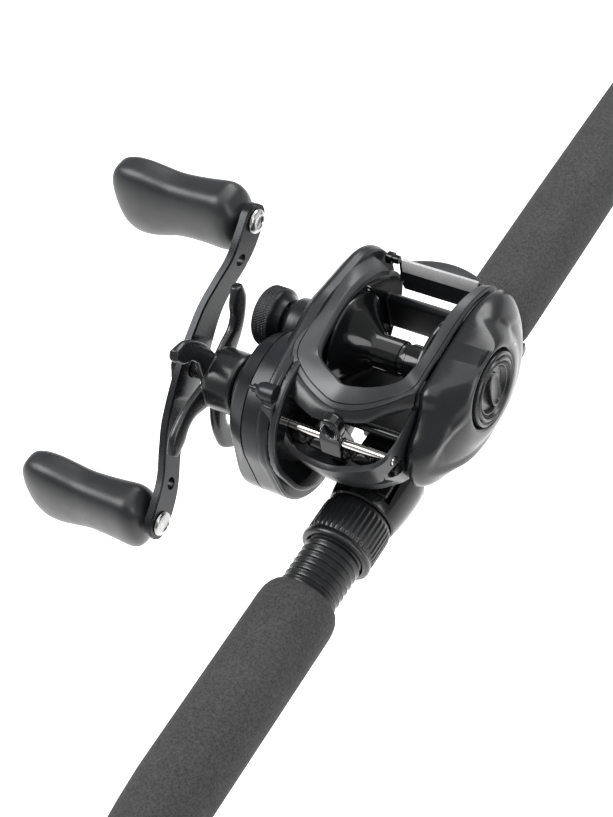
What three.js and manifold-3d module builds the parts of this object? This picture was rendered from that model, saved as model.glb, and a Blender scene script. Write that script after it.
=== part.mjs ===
// Baitcasting fishing rod with a low-profile casting reel clamped in its seat.
// Frame, millimetres: the origin is on the rod axis under the spool. +Z is up through the reel,
// +Y runs towards the butt, -Y towards the tip and +X is the palm side, opposite the handle.
import * as THREE from 'three';
import { mergeVertices } from 'three/addons/utils/BufferGeometryUtils.js';
import Module from 'manifold-3d';

const wasm = await Module();
wasm.setup();

// ---------------------------------------------------------------- driving dimensions
const GAP = 0.3; // clearance left wherever two pieces meet

const BUTT_END = 312; // rear face of the butt cap
const TIP_END = -1518; // tip of the rod, 1.83 m (6 ft) overall
const BLANK_BUTT_RADIUS = 5.8;
const BLANK_GRIP_RADIUS = 5.4; // where the blank leaves the foregrip
const BLANK_JOINT_RADIUS = 4.2; // at the ferrule half way up
const BLANK_TIP_RADIUS = 0.9;
const SPIGOT_RADIUS = 3.4;
const SPIGOT_START = -543;
const SPIGOT_END = -603;
const SOCKET_WALL_RADIUS = 4.9;

const GRIP_RADIUS = 11.8;
const SLEEVE_BORE = BLANK_BUTT_RADIUS + GAP;
const SEAT_RADIUS = 8.9; // threaded barrel of the reel seat
const THREAD_PITCH = 2.2;
const THREAD_RADIUS = 8.85;
const THREAD_ROOT = 8.1;
const SEAT_FLAT_Z = 7.3; // flat on which the reel foot rests
const FOOT_BOTTOM_Z = SEAT_FLAT_Z + GAP;
const FOOT_TOP_Z = 10.2;
const HOOD_RADIUS = 11.8;

const SPOOL_Z = 36.2; // spool axis above the rod axis
const SPOOL_RADIUS = 15;
const SPOOL_HALF_WIDTH = 14.2;
const GEAR_MODULE = 0.6;
const DRIVE_TEETH = 64;
const PINION_TEETH = 10;
const WIND_MODULE = 0.5;
const WIND_DRIVE_TEETH = 20;
const WORM_TEETH = 24;

const CRANK_Y = -20.6; // crank axis ahead of the spool axis
const CENTRE_DISTANCE = (GEAR_MODULE * (DRIVE_TEETH + PINION_TEETH)) / 2;
const CRANK_Z = SPOOL_Z - Math.sqrt(CENTRE_DISTANCE ** 2 - CRANK_Y ** 2);
const WIND_DISTANCE = (WIND_MODULE * (WIND_DRIVE_TEETH + WORM_TEETH)) / 2;
const WORM_Y = -31.2;
const WORM_Z = CRANK_Z + Math.sqrt(WIND_DISTANCE ** 2 - (WORM_Y - CRANK_Y) ** 2);

const SPOOL = [0, SPOOL_Z]; // axes across the reel, as [y, z]
const CRANK = [CRANK_Y, CRANK_Z];
const WORM = [WORM_Y, WORM_Z];
const RAIL = [-32, 35.4];
const RAIL_RADIUS = 1.2;

const PLATE_INNER_X = 16; // inner faces of the two frame plates
const GEAR_PLATE_X = -18; // outer faces of the two frame plates
const PALM_PLATE_X = 17.6;
const PALM_END_X = 31;
const DRUM_RADIUS = 21.3; // round gear housing around the crank axis
const DRUM_FACE_X = -33.5;

const HANDLE_SPAN = 92; // between the two knob axes
const HANDLE_TILT = 0.649; // radians, handle angle at rest
const KNOB_LENGTH = 45;
const GUIDE_REST_X = -2; // line guide position at rest

// ---------------------------------------------------------------- materials
const finishes = {
  graphite: { color: 0x24272b, roughness: 0.35, metalness: 0.1 },
  foam: { color: 0x2b2c2e, roughness: 0.95, metalness: 0 },
  rubber: { color: 0x1b1b1c, roughness: 0.9, metalness: 0 },
  gloss: { color: 0x111214, roughness: 0.18, metalness: 0 },
  shell: { color: 0x1d1e20, roughness: 0.38, metalness: 0.1 },
  satin: { color: 0x5b5e62, roughness: 0.42, metalness: 0.5 },
  anodised: { color: 0x2d3036, roughness: 0.35, metalness: 0.8 },
  steel: { color: 0xb9bcc0, roughness: 0.25, metalness: 1 },
  chrome: { color: 0xe2e4e6, roughness: 0.08, metalness: 1 },
  brass: { color: 0xb08d4a, roughness: 0.35, metalness: 0.9 },
  carbon: { color: 0x333333, roughness: 0.8, metalness: 0 },
  ceramic: { color: 0x3a3d42, roughness: 0.15, metalness: 0.1 },
};

const group = new THREE.Group();
group.name = 'fishing_rod_and_reel';

// ---------------------------------------------------------------- helpers
function closed(geometry) {
  const bare = geometry.clone();
  bare.deleteAttribute('normal');
  bare.deleteAttribute('uv');
  const welded = mergeVertices(bare, 1e-4);
  const kept = [];
  for (let i = 0; i < welded.index.count; i += 3) {
    const a = welded.index.getX(i);
    const b = welded.index.getX(i + 1);
    const c = welded.index.getX(i + 2);
    if (a !== b && b !== c && a !== c) {
      kept.push(a, b, c);
    }
  }
  welded.setIndex(kept);
  return facingOut(welded);
}

function facingOut(geometry) {
  const p = geometry.attributes.position;
  const index = geometry.index;
  const corners = [new THREE.Vector3(), new THREE.Vector3(), new THREE.Vector3()];
  let volume = 0;
  for (let i = 0; i < index.count; i += 3) {
    corners.forEach((corner, k) => corner.fromBufferAttribute(p, index.getX(i + k)));
    volume += corners[0].dot(corners[1].clone().cross(corners[2]));
  }
  if (volume < 0) {
    for (let i = 0; i < index.count; i += 3) {
      const b = index.getX(i + 1);
      index.setX(i + 1, index.getX(i + 2));
      index.setX(i + 2, b);
    }
  }
  return geometry;
}

function solid(geometry) {
  if (!geometry.isBufferGeometry) {
    return geometry;
  }
  const shape = closed(geometry);
  const vertProperties = new Float32Array(shape.attributes.position.array);
  const triVerts = new Uint32Array(shape.index.array);
  return new wasm.Manifold(new wasm.Mesh({ numProp: 3, vertProperties, triVerts }));
}

function surface(manifold) {
  const mesh = manifold.getMesh();
  const geometry = new THREE.BufferGeometry();
  geometry.setAttribute('position', new THREE.BufferAttribute(new Float32Array(mesh.vertProperties), 3));
  geometry.setIndex(Array.from(mesh.triVerts));
  return geometry;
}

function add(name, finish, geometry) {
  const shape = geometry.isBufferGeometry ? closed(geometry) : surface(geometry);
  const flat = shape.toNonIndexed();
  flat.computeVertexNormals();
  const mesh = new THREE.Mesh(flat, new THREE.MeshStandardMaterial(finishes[finish]));
  mesh.name = name;
  group.add(mesh);
  return mesh;
}

// Turned piece: profile is a list of [radius, station] pairs along the axis.
function turned(axis, centre, profile, segments = 22) {
  const points = profile.map(([radius, station]) => new THREE.Vector2(radius, station));
  const geometry = new THREE.LatheGeometry(points, segments);
  if (axis === 'x') {
    geometry.rotateZ(-Math.PI / 2);
    geometry.translate(0, centre[0], centre[1]);
  } else if (axis === 'z') {
    geometry.rotateX(Math.PI / 2);
    geometry.translate(centre[0], centre[1], 0);
  } else {
    geometry.translate(centre[0], 0, centre[1]);
  }
  return geometry;
}

function disc(axis, centre, radius, from, to, segments = 22) {
  return turned(axis, centre, [[0, from], [radius, from], [radius, to], [0, to]], segments);
}

function sleeve(axis, centre, outer, inner, from, to, segments = 22) {
  const profile = [[inner, from], [outer, from], [outer, to], [inner, to], [inner, from]];
  return turned(axis, centre, profile, segments);
}

function box(x0, x1, y0, y1, z0, z1) {
  const geometry = new THREE.BoxGeometry(x1 - x0, y1 - y0, z1 - z0);
  geometry.translate((x0 + x1) / 2, (y0 + y1) / 2, (z0 + z1) / 2);
  return geometry;
}

// Plate whose outline is given as [y, z] points and which runs from x0 to x1.
function plate(outline, x0, x1) {
  const shape = new THREE.Shape(outline.map(([y, z]) => new THREE.Vector2(y, z)));
  const geometry = new THREE.ExtrudeGeometry(shape, { depth: x1 - x0, bevelEnabled: false });
  const turn = new THREE.Matrix4().makeBasis(
    new THREE.Vector3(0, 1, 0),
    new THREE.Vector3(0, 0, 1),
    new THREE.Vector3(1, 0, 0),
  );
  geometry.applyMatrix4(turn);
  geometry.translate(x0, 0, 0);
  return geometry;
}

// Outline stretched like a belt around a set of circles [y, z, radius], drawn in by inset.
function belt(circles, inset = 0, count = 28) {
  const outline = [];
  for (let i = 0; i < count; i += 1) {
    const angle = (2 * Math.PI * i) / count;
    const direction = [Math.cos(angle), Math.sin(angle)];
    const reach = (c) => c[0] * direction[0] + c[1] * direction[1] + c[2];
    const outermost = circles.reduce((best, c) => (reach(c) > reach(best) ? c : best));
    const radius = Math.max(outermost[2] - inset, 0.2);
    outline.push([outermost[0] + radius * direction[0], outermost[1] + radius * direction[1]]);
  }
  return outline;
}

// Solid skinned over outlines with equal point counts; sections are [x, outline] pairs.
function loft(sections) {
  const positions = [];
  const index = [];
  const count = sections[0][1].length;
  sections.forEach(([x, outline]) => outline.forEach(([y, z]) => positions.push(x, y, z)));
  for (let s = 0; s + 1 < sections.length; s += 1) {
    for (let i = 0; i < count; i += 1) {
      const a = s * count + i;
      const b = s * count + ((i + 1) % count);
      index.push(a, b, b + count, a, b + count, a + count);
    }
  }
  [0, sections.length - 1].forEach((s) => {
    const [x, outline] = sections[s];
    const centre = positions.length / 3;
    const y = outline.reduce((sum, point) => sum + point[0], 0) / count;
    const z = outline.reduce((sum, point) => sum + point[1], 0) / count;
    positions.push(x, y, z);
    for (let i = 0; i < count; i += 1) {
      const a = s * count + i;
      const b = s * count + ((i + 1) % count);
      index.push(...(s === 0 ? [b, a, centre] : [a, b, centre]));
    }
  });
  const geometry = new THREE.BufferGeometry();
  geometry.setAttribute('position', new THREE.Float32BufferAttribute(positions, 3));
  geometry.setIndex(index);
  return geometry;
}

// Spur gear about the x axis with involute flanks sampled at the given heights above the root.
function gear(centre, module, teeth, x0, x1, bore, toothAngle, flankSteps) {
  const pressure = (25 * Math.PI) / 180;
  const involute = (angle) => Math.tan(angle) - angle;
  const pitch = (module * teeth) / 2;
  const base = pitch * Math.cos(pressure);
  const root = pitch - 1.05 * module;
  const tip = pitch + 0.8 * module;
  const halfTooth = (radius) => {
    const local = Math.acos(Math.min(base / radius, 1));
    return (Math.PI / (2 * teeth)) * 0.9 + involute(pressure) - involute(local);
  };
  const outline = [];
  for (let tooth = 0; tooth < teeth; tooth += 1) {
    const middle = toothAngle + (2 * Math.PI * tooth) / teeth;
    const flank = flankSteps.map((step) => {
      const radius = root + (tip - root) * step;
      return [radius, halfTooth(radius)];
    });
    flank.forEach(([radius, half]) => outline.push([radius, middle - half]));
    flank.reverse().forEach(([radius, half]) => outline.push([radius, middle + half]));
  }
  const shape = new THREE.Shape(
    outline.map(([r, a]) => new THREE.Vector2(centre[0] + r * Math.cos(a), centre[1] + r * Math.sin(a))),
  );
  const hole = new THREE.Path();
  hole.absarc(centre[0], centre[1], bore, 0, 2 * Math.PI, true);
  shape.holes.push(hole);
  const geometry = new THREE.ExtrudeGeometry(shape, { depth: x1 - x0, bevelEnabled: false, curveSegments: 10 });
  const turn = new THREE.Matrix4().makeBasis(
    new THREE.Vector3(0, 1, 0),
    new THREE.Vector3(0, 0, 1),
    new THREE.Vector3(1, 0, 0),
  );
  geometry.applyMatrix4(turn);
  geometry.translate(x0, 0, 0);
  return geometry;
}

function union(...geometries) {
  return geometries.map(solid).reduce((whole, piece) => whole.add(piece));
}

function cut(body, ...geometries) {
  return geometries.map(solid).reduce((whole, piece) => whole.subtract(piece), body);
}

const ROD = [0, 0];

// ---------------------------------------------------------------- rod blank and grips
add('blank_butt', 'graphite', turned('y', ROD, [
  [0, SPIGOT_END],
  [SPIGOT_RADIUS, SPIGOT_END],
  [SPIGOT_RADIUS, SPIGOT_START],
  [BLANK_JOINT_RADIUS, SPIGOT_START],
  [BLANK_GRIP_RADIUS, -170],
  [BLANK_BUTT_RADIUS, -60],
  [BLANK_BUTT_RADIUS, BUTT_END - 8],
  [0, BUTT_END - 8],
], 20));

const socketMouth = SPIGOT_START - GAP;
const socketFloor = SPIGOT_END - GAP;
const socketBore = SPIGOT_RADIUS + GAP;
add('blank_tip', 'graphite', turned('y', ROD, [
  [0, TIP_END + 9],
  [BLANK_TIP_RADIUS, TIP_END + 9],
  [1.7, -1200],
  [2.8, -900],
  [3.9, -640],
  [SOCKET_WALL_RADIUS, socketFloor - 10],
  [SOCKET_WALL_RADIUS, socketMouth],
  [socketBore, socketMouth],
  [socketBore, socketFloor],
  [0, socketFloor],
], 20));

add('butt_cap', 'rubber', turned('y', ROD, [
  [SLEEVE_BORE, 296.3],
  [12.6, 296.3],
  [12.9, 303],
  [12.4, BUTT_END - 1.5],
  [10.8, BUTT_END],
  [0, BUTT_END],
  [0, BUTT_END - 7.6],
  [SLEEVE_BORE, BUTT_END - 7.6],
  [SLEEVE_BORE, 296.3],
]));

add('rear_grip', 'foam', turned('y', ROD, [
  [SLEEVE_BORE, 48.6],
  [10.6, 48.6],
  [GRIP_RADIUS, 52],
  [GRIP_RADIUS, 100],
  [11, 180],
  [11.4, 260],
  [12.4, 296],
  [SLEEVE_BORE, 296],
  [SLEEVE_BORE, 48.6],
]));

add('fore_grip', 'foam', turned('y', ROD, [
  [SLEEVE_BORE, -168],
  [7, -168],
  [8.2, -163],
  [10.4, -148],
  [GRIP_RADIUS, -128],
  [GRIP_RADIUS, -68],
  [11.2, -64.6],
  [10, -62.6],
  [SLEEVE_BORE, -62],
  [SLEEVE_BORE, -168],
]));

add('winding_check', 'anodised', sleeve('y', ROD, 7.3, SLEEVE_BORE, -172.2, -168.3, 20));

const keeperY = -196;
add('hook_keeper', 'chrome', cut(
  union(
    sleeve('y', ROD, 6.4, 5.65, keeperY - 9, keeperY + 9, 20),
    box(-0.7, 0.7, keeperY - 6, keeperY + 6, -10.2, -5.9),
  ),
  box(-1, 1, keeperY - 4.2, keeperY + 4.2, -8.8, -6.4),
));

// ---------------------------------------------------------------- reel seat
const threadFrom = -61.7;
const threadTo = -47; // the rest of the barrel is under the nut and the hood
const hoodEnd = -31.4;
const barrel = [[SLEEVE_BORE, threadFrom], [THREAD_ROOT, threadFrom]];
for (let y = threadFrom + THREAD_PITCH / 2; y < threadTo; y += THREAD_PITCH) {
  barrel.push([THREAD_RADIUS, y]);
  barrel.push([THREAD_ROOT, y + THREAD_PITCH / 2]);
}
barrel.push(
  [THREAD_RADIUS, threadTo + 1],
  [SEAT_RADIUS, hoodEnd],
  [SEAT_RADIUS, -13.6],
  [10.4, -13.6],
  [10.4, 24],
  [HOOD_RADIUS, 29],
  [HOOD_RADIUS, 40],
  [11.2, 48.3],
  [SLEEVE_BORE, 48.3],
  [SLEEVE_BORE, threadFrom],
);
const triggerOutline = [
  [11, -7.5], [32, -7.5], [31.4, -12], [31.6, -20], [30, -27], [25.6, -32.6], [21.4, -34.4],
  [19.6, -33], [22.6, -28.8], [24.2, -23], [22.8, -15.6], [17.6, -11.6],
];
add('reel_seat', 'gloss', cut(
  union(turned('y', ROD, barrel, 20), cut(solid(plate(triggerOutline, -3.4, 3.4)), disc('y', ROD, 8, 2, 40))),
  box(-14, 14, -29, 26, SEAT_FLAT_Z, 16),
  box(-8.8, 8.8, 20, 31, SEAT_FLAT_Z, FOOT_TOP_Z + GAP),
));

const hoodBore = SEAT_RADIUS + GAP;
add('moving_hood', 'gloss', cut(
  solid(turned('y', ROD, [
    [hoodBore, -31.2],
    [10.4, -31.2],
    [11.4, -27],
    [HOOD_RADIUS, -20],
    [HOOD_RADIUS, -13.9],
    [hoodBore, -13.9],
    [hoodBore, -31.2],
  ], 24)),
  box(-8.8, 8.8, -28.4, -13, 4, FOOT_TOP_Z + GAP),
));

const nutRibs = 22;
const nutOutline = [];
for (let i = 0; i < 2 * nutRibs; i += 1) {
  const angle = (Math.PI * i) / nutRibs;
  const radius = i % 2 === 0 ? 10.6 : 9.9;
  nutOutline.push(new THREE.Vector2(radius * Math.cos(angle), radius * Math.sin(angle)));
}
const nutBody = new THREE.ExtrudeGeometry(new THREE.Shape(nutOutline), { depth: 11.6, bevelEnabled: false });
nutBody.rotateX(Math.PI / 2);
nutBody.translate(0, -31.6, 0);
add('lock_nut', 'shell', cut(
  union(nutBody, disc('y', ROD, 10.8, -46.2, -43, 24)),
  disc('y', ROD, THREAD_RADIUS + GAP, -48, -30, 24),
));

// ---------------------------------------------------------------- line guides along the blank
// Each guide: y position, ring radius, ring height over the rod axis and blank radius there.
const guides = [
  { y: -398, ring: 6, height: 17, blank: 4.75 },
  { y: -655, ring: 5, height: 14.5, blank: 4.2 },
  { y: -828, ring: 4.2, height: 12, blank: 3.2 },
  { y: -1003, ring: 3.6, height: 10, blank: 2.55 },
  { y: -1158, ring: 3.2, height: 8.6, blank: 1.95 },
  { y: -1293, ring: 3, height: 7.6, blank: 1.55 },
  { y: -1413, ring: 2.8, height: 7, blank: 1.35 },
];
const ringWall = 0.8;
const holderWall = 0.9;
const wrapSides = 10;
guides.forEach(({ y, ring, height, blank }, i) => {
  const holderInner = ring + ringWall + 0.1;
  const holderOuter = holderInner + holderWall;
  const wrapInner = (blank + 0.12) / Math.cos(Math.PI / wrapSides);
  const footLength = 3 * ring;
  const legs = [-1, 1].map((side) => {
    const leg = plate([[-footLength, 0], [-footLength + 2.4, 0], [0.7, height], [-0.7, height]], -0.6, 0.6);
    leg.rotateY(side * Math.atan2(ring * 0.9, height));
    leg.translate(0, y, 0);
    return leg;
  });
  const tail = plate([[footLength - 2, 0], [footLength, 0], [0.7, height - ring], [-0.7, height - ring]], -0.8, 0.8);
  tail.translate(0, y, 0);
  const frame = cut(
    union(
      sleeve('y', [0, height], holderOuter, holderInner, y - 0.8, y + 0.8, 14),
      sleeve('y', ROD, wrapInner + 0.7, wrapInner, y - footLength - 4, y + footLength + 4, wrapSides),
      ...legs,
      tail,
    ),
    disc('y', [0, height], holderInner, y - 3, y + 3, 14),
    disc('y', ROD, wrapInner, y - footLength - 9, y + footLength + 9, wrapSides),
  );
  add(`guide_${i + 1}`, 'anodised', frame);
  add(`guide_ring_${i + 1}`, 'ceramic', sleeve('y', [0, height], ring + ringWall, ring, y - 1.1, y + 1.1, 14));
});

const tipRingZ = 4.6;
const tipRingY = TIP_END + 1.4;
add('tip_top', 'anodised', cut(
  union(
    disc('y', ROD, 1.8, TIP_END + 2, TIP_END + 21, 14),
    sleeve('y', [0, tipRingZ], 4.3, 3.4, tipRingY - 0.7, tipRingY + 0.7, 18),
    box(-0.7, 0.7, TIP_END + 0.8, TIP_END + 6, 0, 1.4),
    plate([[TIP_END + 14, 0], [TIP_END + 16, 0], [tipRingY + 0.6, 8.2], [tipRingY - 0.6, 8.2]], -0.5, 0.5),
  ),
  disc('y', [0, tipRingZ], 3.4, tipRingY - 2, tipRingY + 2, 18),
  disc('y', ROD, 1.25, TIP_END + 8, TIP_END + 24, 14),
));
add('tip_ring', 'ceramic', sleeve('y', [0, tipRingZ], 3.3, 2.6, tipRingY - 1, tipRingY + 1, 18));

// ---------------------------------------------------------------- reel frame and covers
const gearOutline = [
  [CRANK_Y, CRANK_Z, 21.4], [-19, 20.5, 20.4], [0, SPOOL_Z, 15.5], [22, 31, 9], [8, 15, 7],
];
const coverOutline = [
  [CRANK_Y, CRANK_Z, 21.4], [-19, 20.5, 20.6], [-1, SPOOL_Z, 18.4], [14, 35.5, 17.5], [8, 15, 7],
];
const palmOutline = [[-24.5, 29.5, 9], [0, SPOOL_Z, 16], [15, 34.5, 15.5], [7, 18, 8]];
const roofOutline = [
  [-34, 41], [-33.6, 46.4], [-27.5, 51], [-16, 53.8], [0, 54.2], [12, 52.2], [24.4, 46], [25, 41],
];
const roofCentre = [-4, 41];
function roof(scale, drop, sag) {
  return roofOutline.map(([y, z]) => [
    roofCentre[0] + (y - roofCentre[0]) * scale,
    roofCentre[1] + (z - roofCentre[1]) * scale * (1 - sag) - drop,
  ]);
}
function roofSolid(scale, drop, x0, x1) {
  return loft([
    [x0, roof(scale, drop, 0.14)],
    [-13, roof(scale, drop, 0)],
    [12, roof(scale, drop, 0)],
    [x1, roof(scale, drop, 0.16)],
  ]);
}
const roofHollow = roofSolid(0.95, 1.2, GEAR_PLATE_X - 1, PALM_PLATE_X + 1);
const underRoof = roofSolid(0.935, 1.6, GEAR_PLATE_X - 1, PALM_PLATE_X + 1);

const frameBody = union(
  plate(belt(gearOutline), GEAR_PLATE_X, -PLATE_INNER_X),
  plate(belt(palmOutline), PLATE_INNER_X, PALM_PLATE_X),
  box(-PLATE_INNER_X - 0.5, PLATE_INNER_X + 0.5, -12, 14, 14.5, 17.8),
  box(-PLATE_INNER_X - 0.5, PLATE_INNER_X + 0.5, -34, -29.6, 19.8, 24),
  plate([[19, 20.5], [22, 20.5], [24.6, 31], [21.6, 31]], -PLATE_INNER_X - 0.5, PLATE_INNER_X + 0.5),
  box(-9, 9, -11, 12, FOOT_TOP_Z - 1, 15),
  plate([[-27.6, FOOT_BOTTOM_Z], [30.4, FOOT_BOTTOM_Z], [30.4, 9.4], [24, FOOT_TOP_Z], [-21, FOOT_TOP_Z],
    [-27.6, 9.2]], -7.9, 7.9),
);
const aboveRoof = cut(solid(box(-30, 30, -60, 60, 40.9, 70)), underRoof);
add('frame', 'shell', cut(
  frameBody.subtract(aboveRoof),
  disc('x', SPOOL, SPOOL_RADIUS + 0.5, PLATE_INNER_X - 1, PALM_PLATE_X + 1),
  disc('x', SPOOL, 4, GEAR_PLATE_X - 1, -PLATE_INNER_X + 1, 20),
  disc('x', CRANK, 2.6, GEAR_PLATE_X - 1, -PLATE_INNER_X + 1, 20),
  disc('x', WORM, 2, -PLATE_INNER_X - 3, PLATE_INNER_X + 3, 16),
  disc('x', RAIL, RAIL_RADIUS + GAP, -PLATE_INNER_X - 3, PLATE_INNER_X + 3, 16),
));

const windowHalf = 14.7;
add('top_cover', 'satin', cut(
  solid(roofSolid(1, 0, GEAR_PLATE_X, PALM_PLATE_X)),
  roofHollow,
  box(-windowHalf, windowHalf, -22, 40, 38, 60),
  box(-windowHalf, windowHalf, -60, -22, 38, 46.2),
));

const coverX = GEAR_PLATE_X - GAP;
const coverShell = union(
  loft([
    [-27.5, belt(coverOutline, 5)],
    [-25, belt(coverOutline, 1.6)],
    [-22.6, belt(coverOutline, 0.2)],
    [coverX, belt(coverOutline, 0.8)],
  ]),
  turned('x', CRANK, [
    [0, -38.6], [8.2, -38.6], [8.6, -37.8], [8.6, -36], [11, -36], [11.4, -35.2], [11.4, DRUM_FACE_X],
    [18.2, DRUM_FACE_X], [DRUM_RADIUS - 0.9, -32.6], [DRUM_RADIUS, -30], [DRUM_RADIUS, -20], [0, -20],
  ], 30),
  disc('x', SPOOL, 8.2, -33, -24, 24),
  disc('x', SPOOL, 5.2, -39, -32, 20),
);
add('gear_side_cover', 'shell', cut(
  coverShell,
  disc('x', CRANK, 20.1, -31, coverX + 1, 30),
  disc('x', CRANK, 7.4, -37, -30, 24),
  disc('x', CRANK, 4.6, -40, -36, 20),
  disc('x', SPOOL, 9, -25, coverX + 1, 24),
  disc('x', SPOOL, 4.1, -38, -24, 20),
));

const palmShell = cut(
  union(
    loft([
      [PALM_PLATE_X + GAP, belt(palmOutline)],
      [22, belt(palmOutline, 0.4)],
      [26, belt(palmOutline, 2)],
      [29, belt(palmOutline, 4.4)],
      [PALM_END_X, belt(palmOutline, 7.6)],
    ]),
  ),
  loft([
    [PALM_PLATE_X - 1, belt(palmOutline, 1.8)],
    [22, belt(palmOutline, 2.2)],
    [25.5, belt(palmOutline, 3.8)],
    [27, belt(palmOutline, 6)],
  ]),
);
const slideY = 20.6;
const slideZ = 23.4;
add('palm_side_plate', 'shell', cut(
  palmShell.add(solid(sleeve('x', SPOOL, 6.2, 4.2, 20, 27.5, 20))),
  disc('x', SPOOL, 10.9, 28.6, 40),
  disc('x', SPOOL, 4.2, 19, 26, 20),
  box(22.4, 27, slideY - 3, slideY + 9, slideZ - 2.6, slideZ + 2.6),
));

add('release_slide', 'anodised', plate([
  [slideY - 2.6, slideZ - 2.2],
  [slideY + 5, slideZ - 2.2],
  [slideY + 6.4, slideZ - 1],
  [slideY + 6.4, slideZ + 1.6],
  [slideY - 2.6, slideZ + 2.2],
], 22.8, 25.6));

add('brake_dial', 'shell', turned('x', SPOOL, [
  [0, 28.9], [10.5, 28.9], [10.5, 32], [9.9, 32.8], [7.4, 32.8], [6.6, 31.6], [0, 31.6],
]));
add('brake_ring', 'brass', sleeve('x', SPOOL, 12, 9.2, 18.2, 20.6, 24));

add('thumb_bar', 'gloss', plate([
  [24.9, 34.6], [28.4, 35.6], [31, 40.4], [30.4, 43.6], [27.4, 45.2], [25.6, 45],
], -12, 13.8));

// ---------------------------------------------------------------- spool and gear train
const arborRadius = 5.2;
add('spool', 'gloss', turned('x', SPOOL, [
  [1.8, -SPOOL_HALF_WIDTH],
  [SPOOL_RADIUS - 0.6, -SPOOL_HALF_WIDTH],
  [SPOOL_RADIUS, -SPOOL_HALF_WIDTH + 0.6],
  [SPOOL_RADIUS - 0.6, -SPOOL_HALF_WIDTH + 1.4],
  [arborRadius + 5.6, -10.6],
  [arborRadius + 1.6, -7],
  [arborRadius, -5],
  [arborRadius, 2.2],
  [arborRadius - 0.5, 2.6],
  [arborRadius - 0.5, 4.4],
  [arborRadius, 4.8],
  [arborRadius, 8.8],
  [arborRadius + 1.6, 10.4],
  [arborRadius + 5.6, 12],
  [SPOOL_RADIUS - 0.6, SPOOL_HALF_WIDTH - 1.4],
  [SPOOL_RADIUS, SPOOL_HALF_WIDTH - 0.6],
  [SPOOL_RADIUS - 0.6, SPOOL_HALF_WIDTH],
  [1.8, SPOOL_HALF_WIDTH],
  [1.8, -SPOOL_HALF_WIDTH],
], 24));
add('spool_shaft', 'steel', disc('x', SPOOL, 1.5, -36.6, 24.6, 14));
add('spool_bearing_gear', 'steel', sleeve('x', SPOOL, 3.8, 1.8, -33, -30.4, 18));
add('spool_bearing_palm', 'steel', sleeve('x', SPOOL, 3.9, 1.8, 21, 23.6, 18));

const lineOfCentres = Math.atan2(SPOOL_Z - CRANK_Z, -CRANK_Y);
const windLine = Math.atan2(WORM_Z - CRANK_Z, WORM_Y - CRANK_Y);
add('pinion_gear', 'brass', gear(
  SPOOL, GEAR_MODULE, PINION_TEETH, -26, -20.8, 1.8,
  lineOfCentres + Math.PI + Math.PI / PINION_TEETH, [0, 0.4, 1],
));
add('drive_gear', 'brass', gear(
  CRANK, GEAR_MODULE, DRIVE_TEETH, -25.2, -21.4, 3.1, lineOfCentres, [0, 1],
));
add('wind_drive_gear', 'steel', gear(
  CRANK, WIND_MODULE, WIND_DRIVE_TEETH, -20.8, -18.6, 3.1, windLine, [0, 1],
));
add('worm_gear', 'carbon', gear(
  WORM, WIND_MODULE, WORM_TEETH, -20.8, -18.6, 1.9,
  windLine + Math.PI + Math.PI / WORM_TEETH, [0, 1],
));
add('drive_shaft', 'steel', turned('x', CRANK, [
  [0, -60.6], [2.6, -60.6], [2.6, -40], [2.8, -40], [2.8, -18.4], [2.3, -18.4], [2.3, -16.2], [0, -16.2],
], 18));
add('drag_washer', 'carbon', sleeve('x', CRANK, 14, 3.4, -26.5, -25.5, 24));
add('pressure_plate', 'steel', sleeve('x', CRANK, 13, 3.4, -27.8, -26.8, 24));
add('clutch_sleeve', 'steel', sleeve('x', CRANK, 4.2, 3.1, -41, -28.1, 18));
add('one_way_bearing', 'steel', sleeve('x', CRANK, 7.1, 4.5, -35.8, -29, 20));

// ---------------------------------------------------------------- level wind
add('worm_shaft', 'steel', turned('x', WORM, [
  [0, -21.4], [1.6, -21.4], [1.6, -15.7], [2.6, -15.7], [2.6, 15.7], [1.6, 15.7], [1.6, 17.4], [0, 17.4],
], 16));
add('guard_rod', 'chrome', disc('x', RAIL, RAIL_RADIUS, -17.8, 17.4, 14));
const ringCentre = [GUIDE_REST_X, 40.6];
const guideHalf = 4.2;
const guideOutline = [
  [-34.4, 27.4], [-28, 27.4], [-27.8, 33.6], [-30.4, 36.8], [-31.4, 45], [-34.8, 45], [-35, 36],
];
add('line_guide', 'gloss', cut(
  solid(plate(guideOutline, GUIDE_REST_X - guideHalf, GUIDE_REST_X + guideHalf)),
  disc('x', WORM, 2.9, -20, 20, 16),
  disc('x', RAIL, RAIL_RADIUS + GAP, -20, 20, 14),
  disc('y', ringCentre, 3.1, -40, -25, 18),
  disc('z', [GUIDE_REST_X, WORM_Y], 1.6, 20, 29, 12),
));
add('guide_insert', 'ceramic', sleeve('y', ringCentre, 2.9, 2.1, -35.2, -31, 18));
add('pawl_cap', 'anodised', union(
  disc('z', [GUIDE_REST_X, WORM_Y], 2.2, 24.7, 27.1, 14),
  disc('z', [GUIDE_REST_X, WORM_Y], 1.3, 26, WORM_Z - 2.9, 14),
));

// ---------------------------------------------------------------- controls and handle
add('cast_control_knob', 'anodised', turned('x', SPOOL, [
  [0, -43.6], [7.6, -43.6], [9, -42.6], [9, -38], [8, -37.2], [6.6, -35.4], [5.5, -35.4], [5.5, -39.3],
  [0, -39.3],
], 28));

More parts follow.
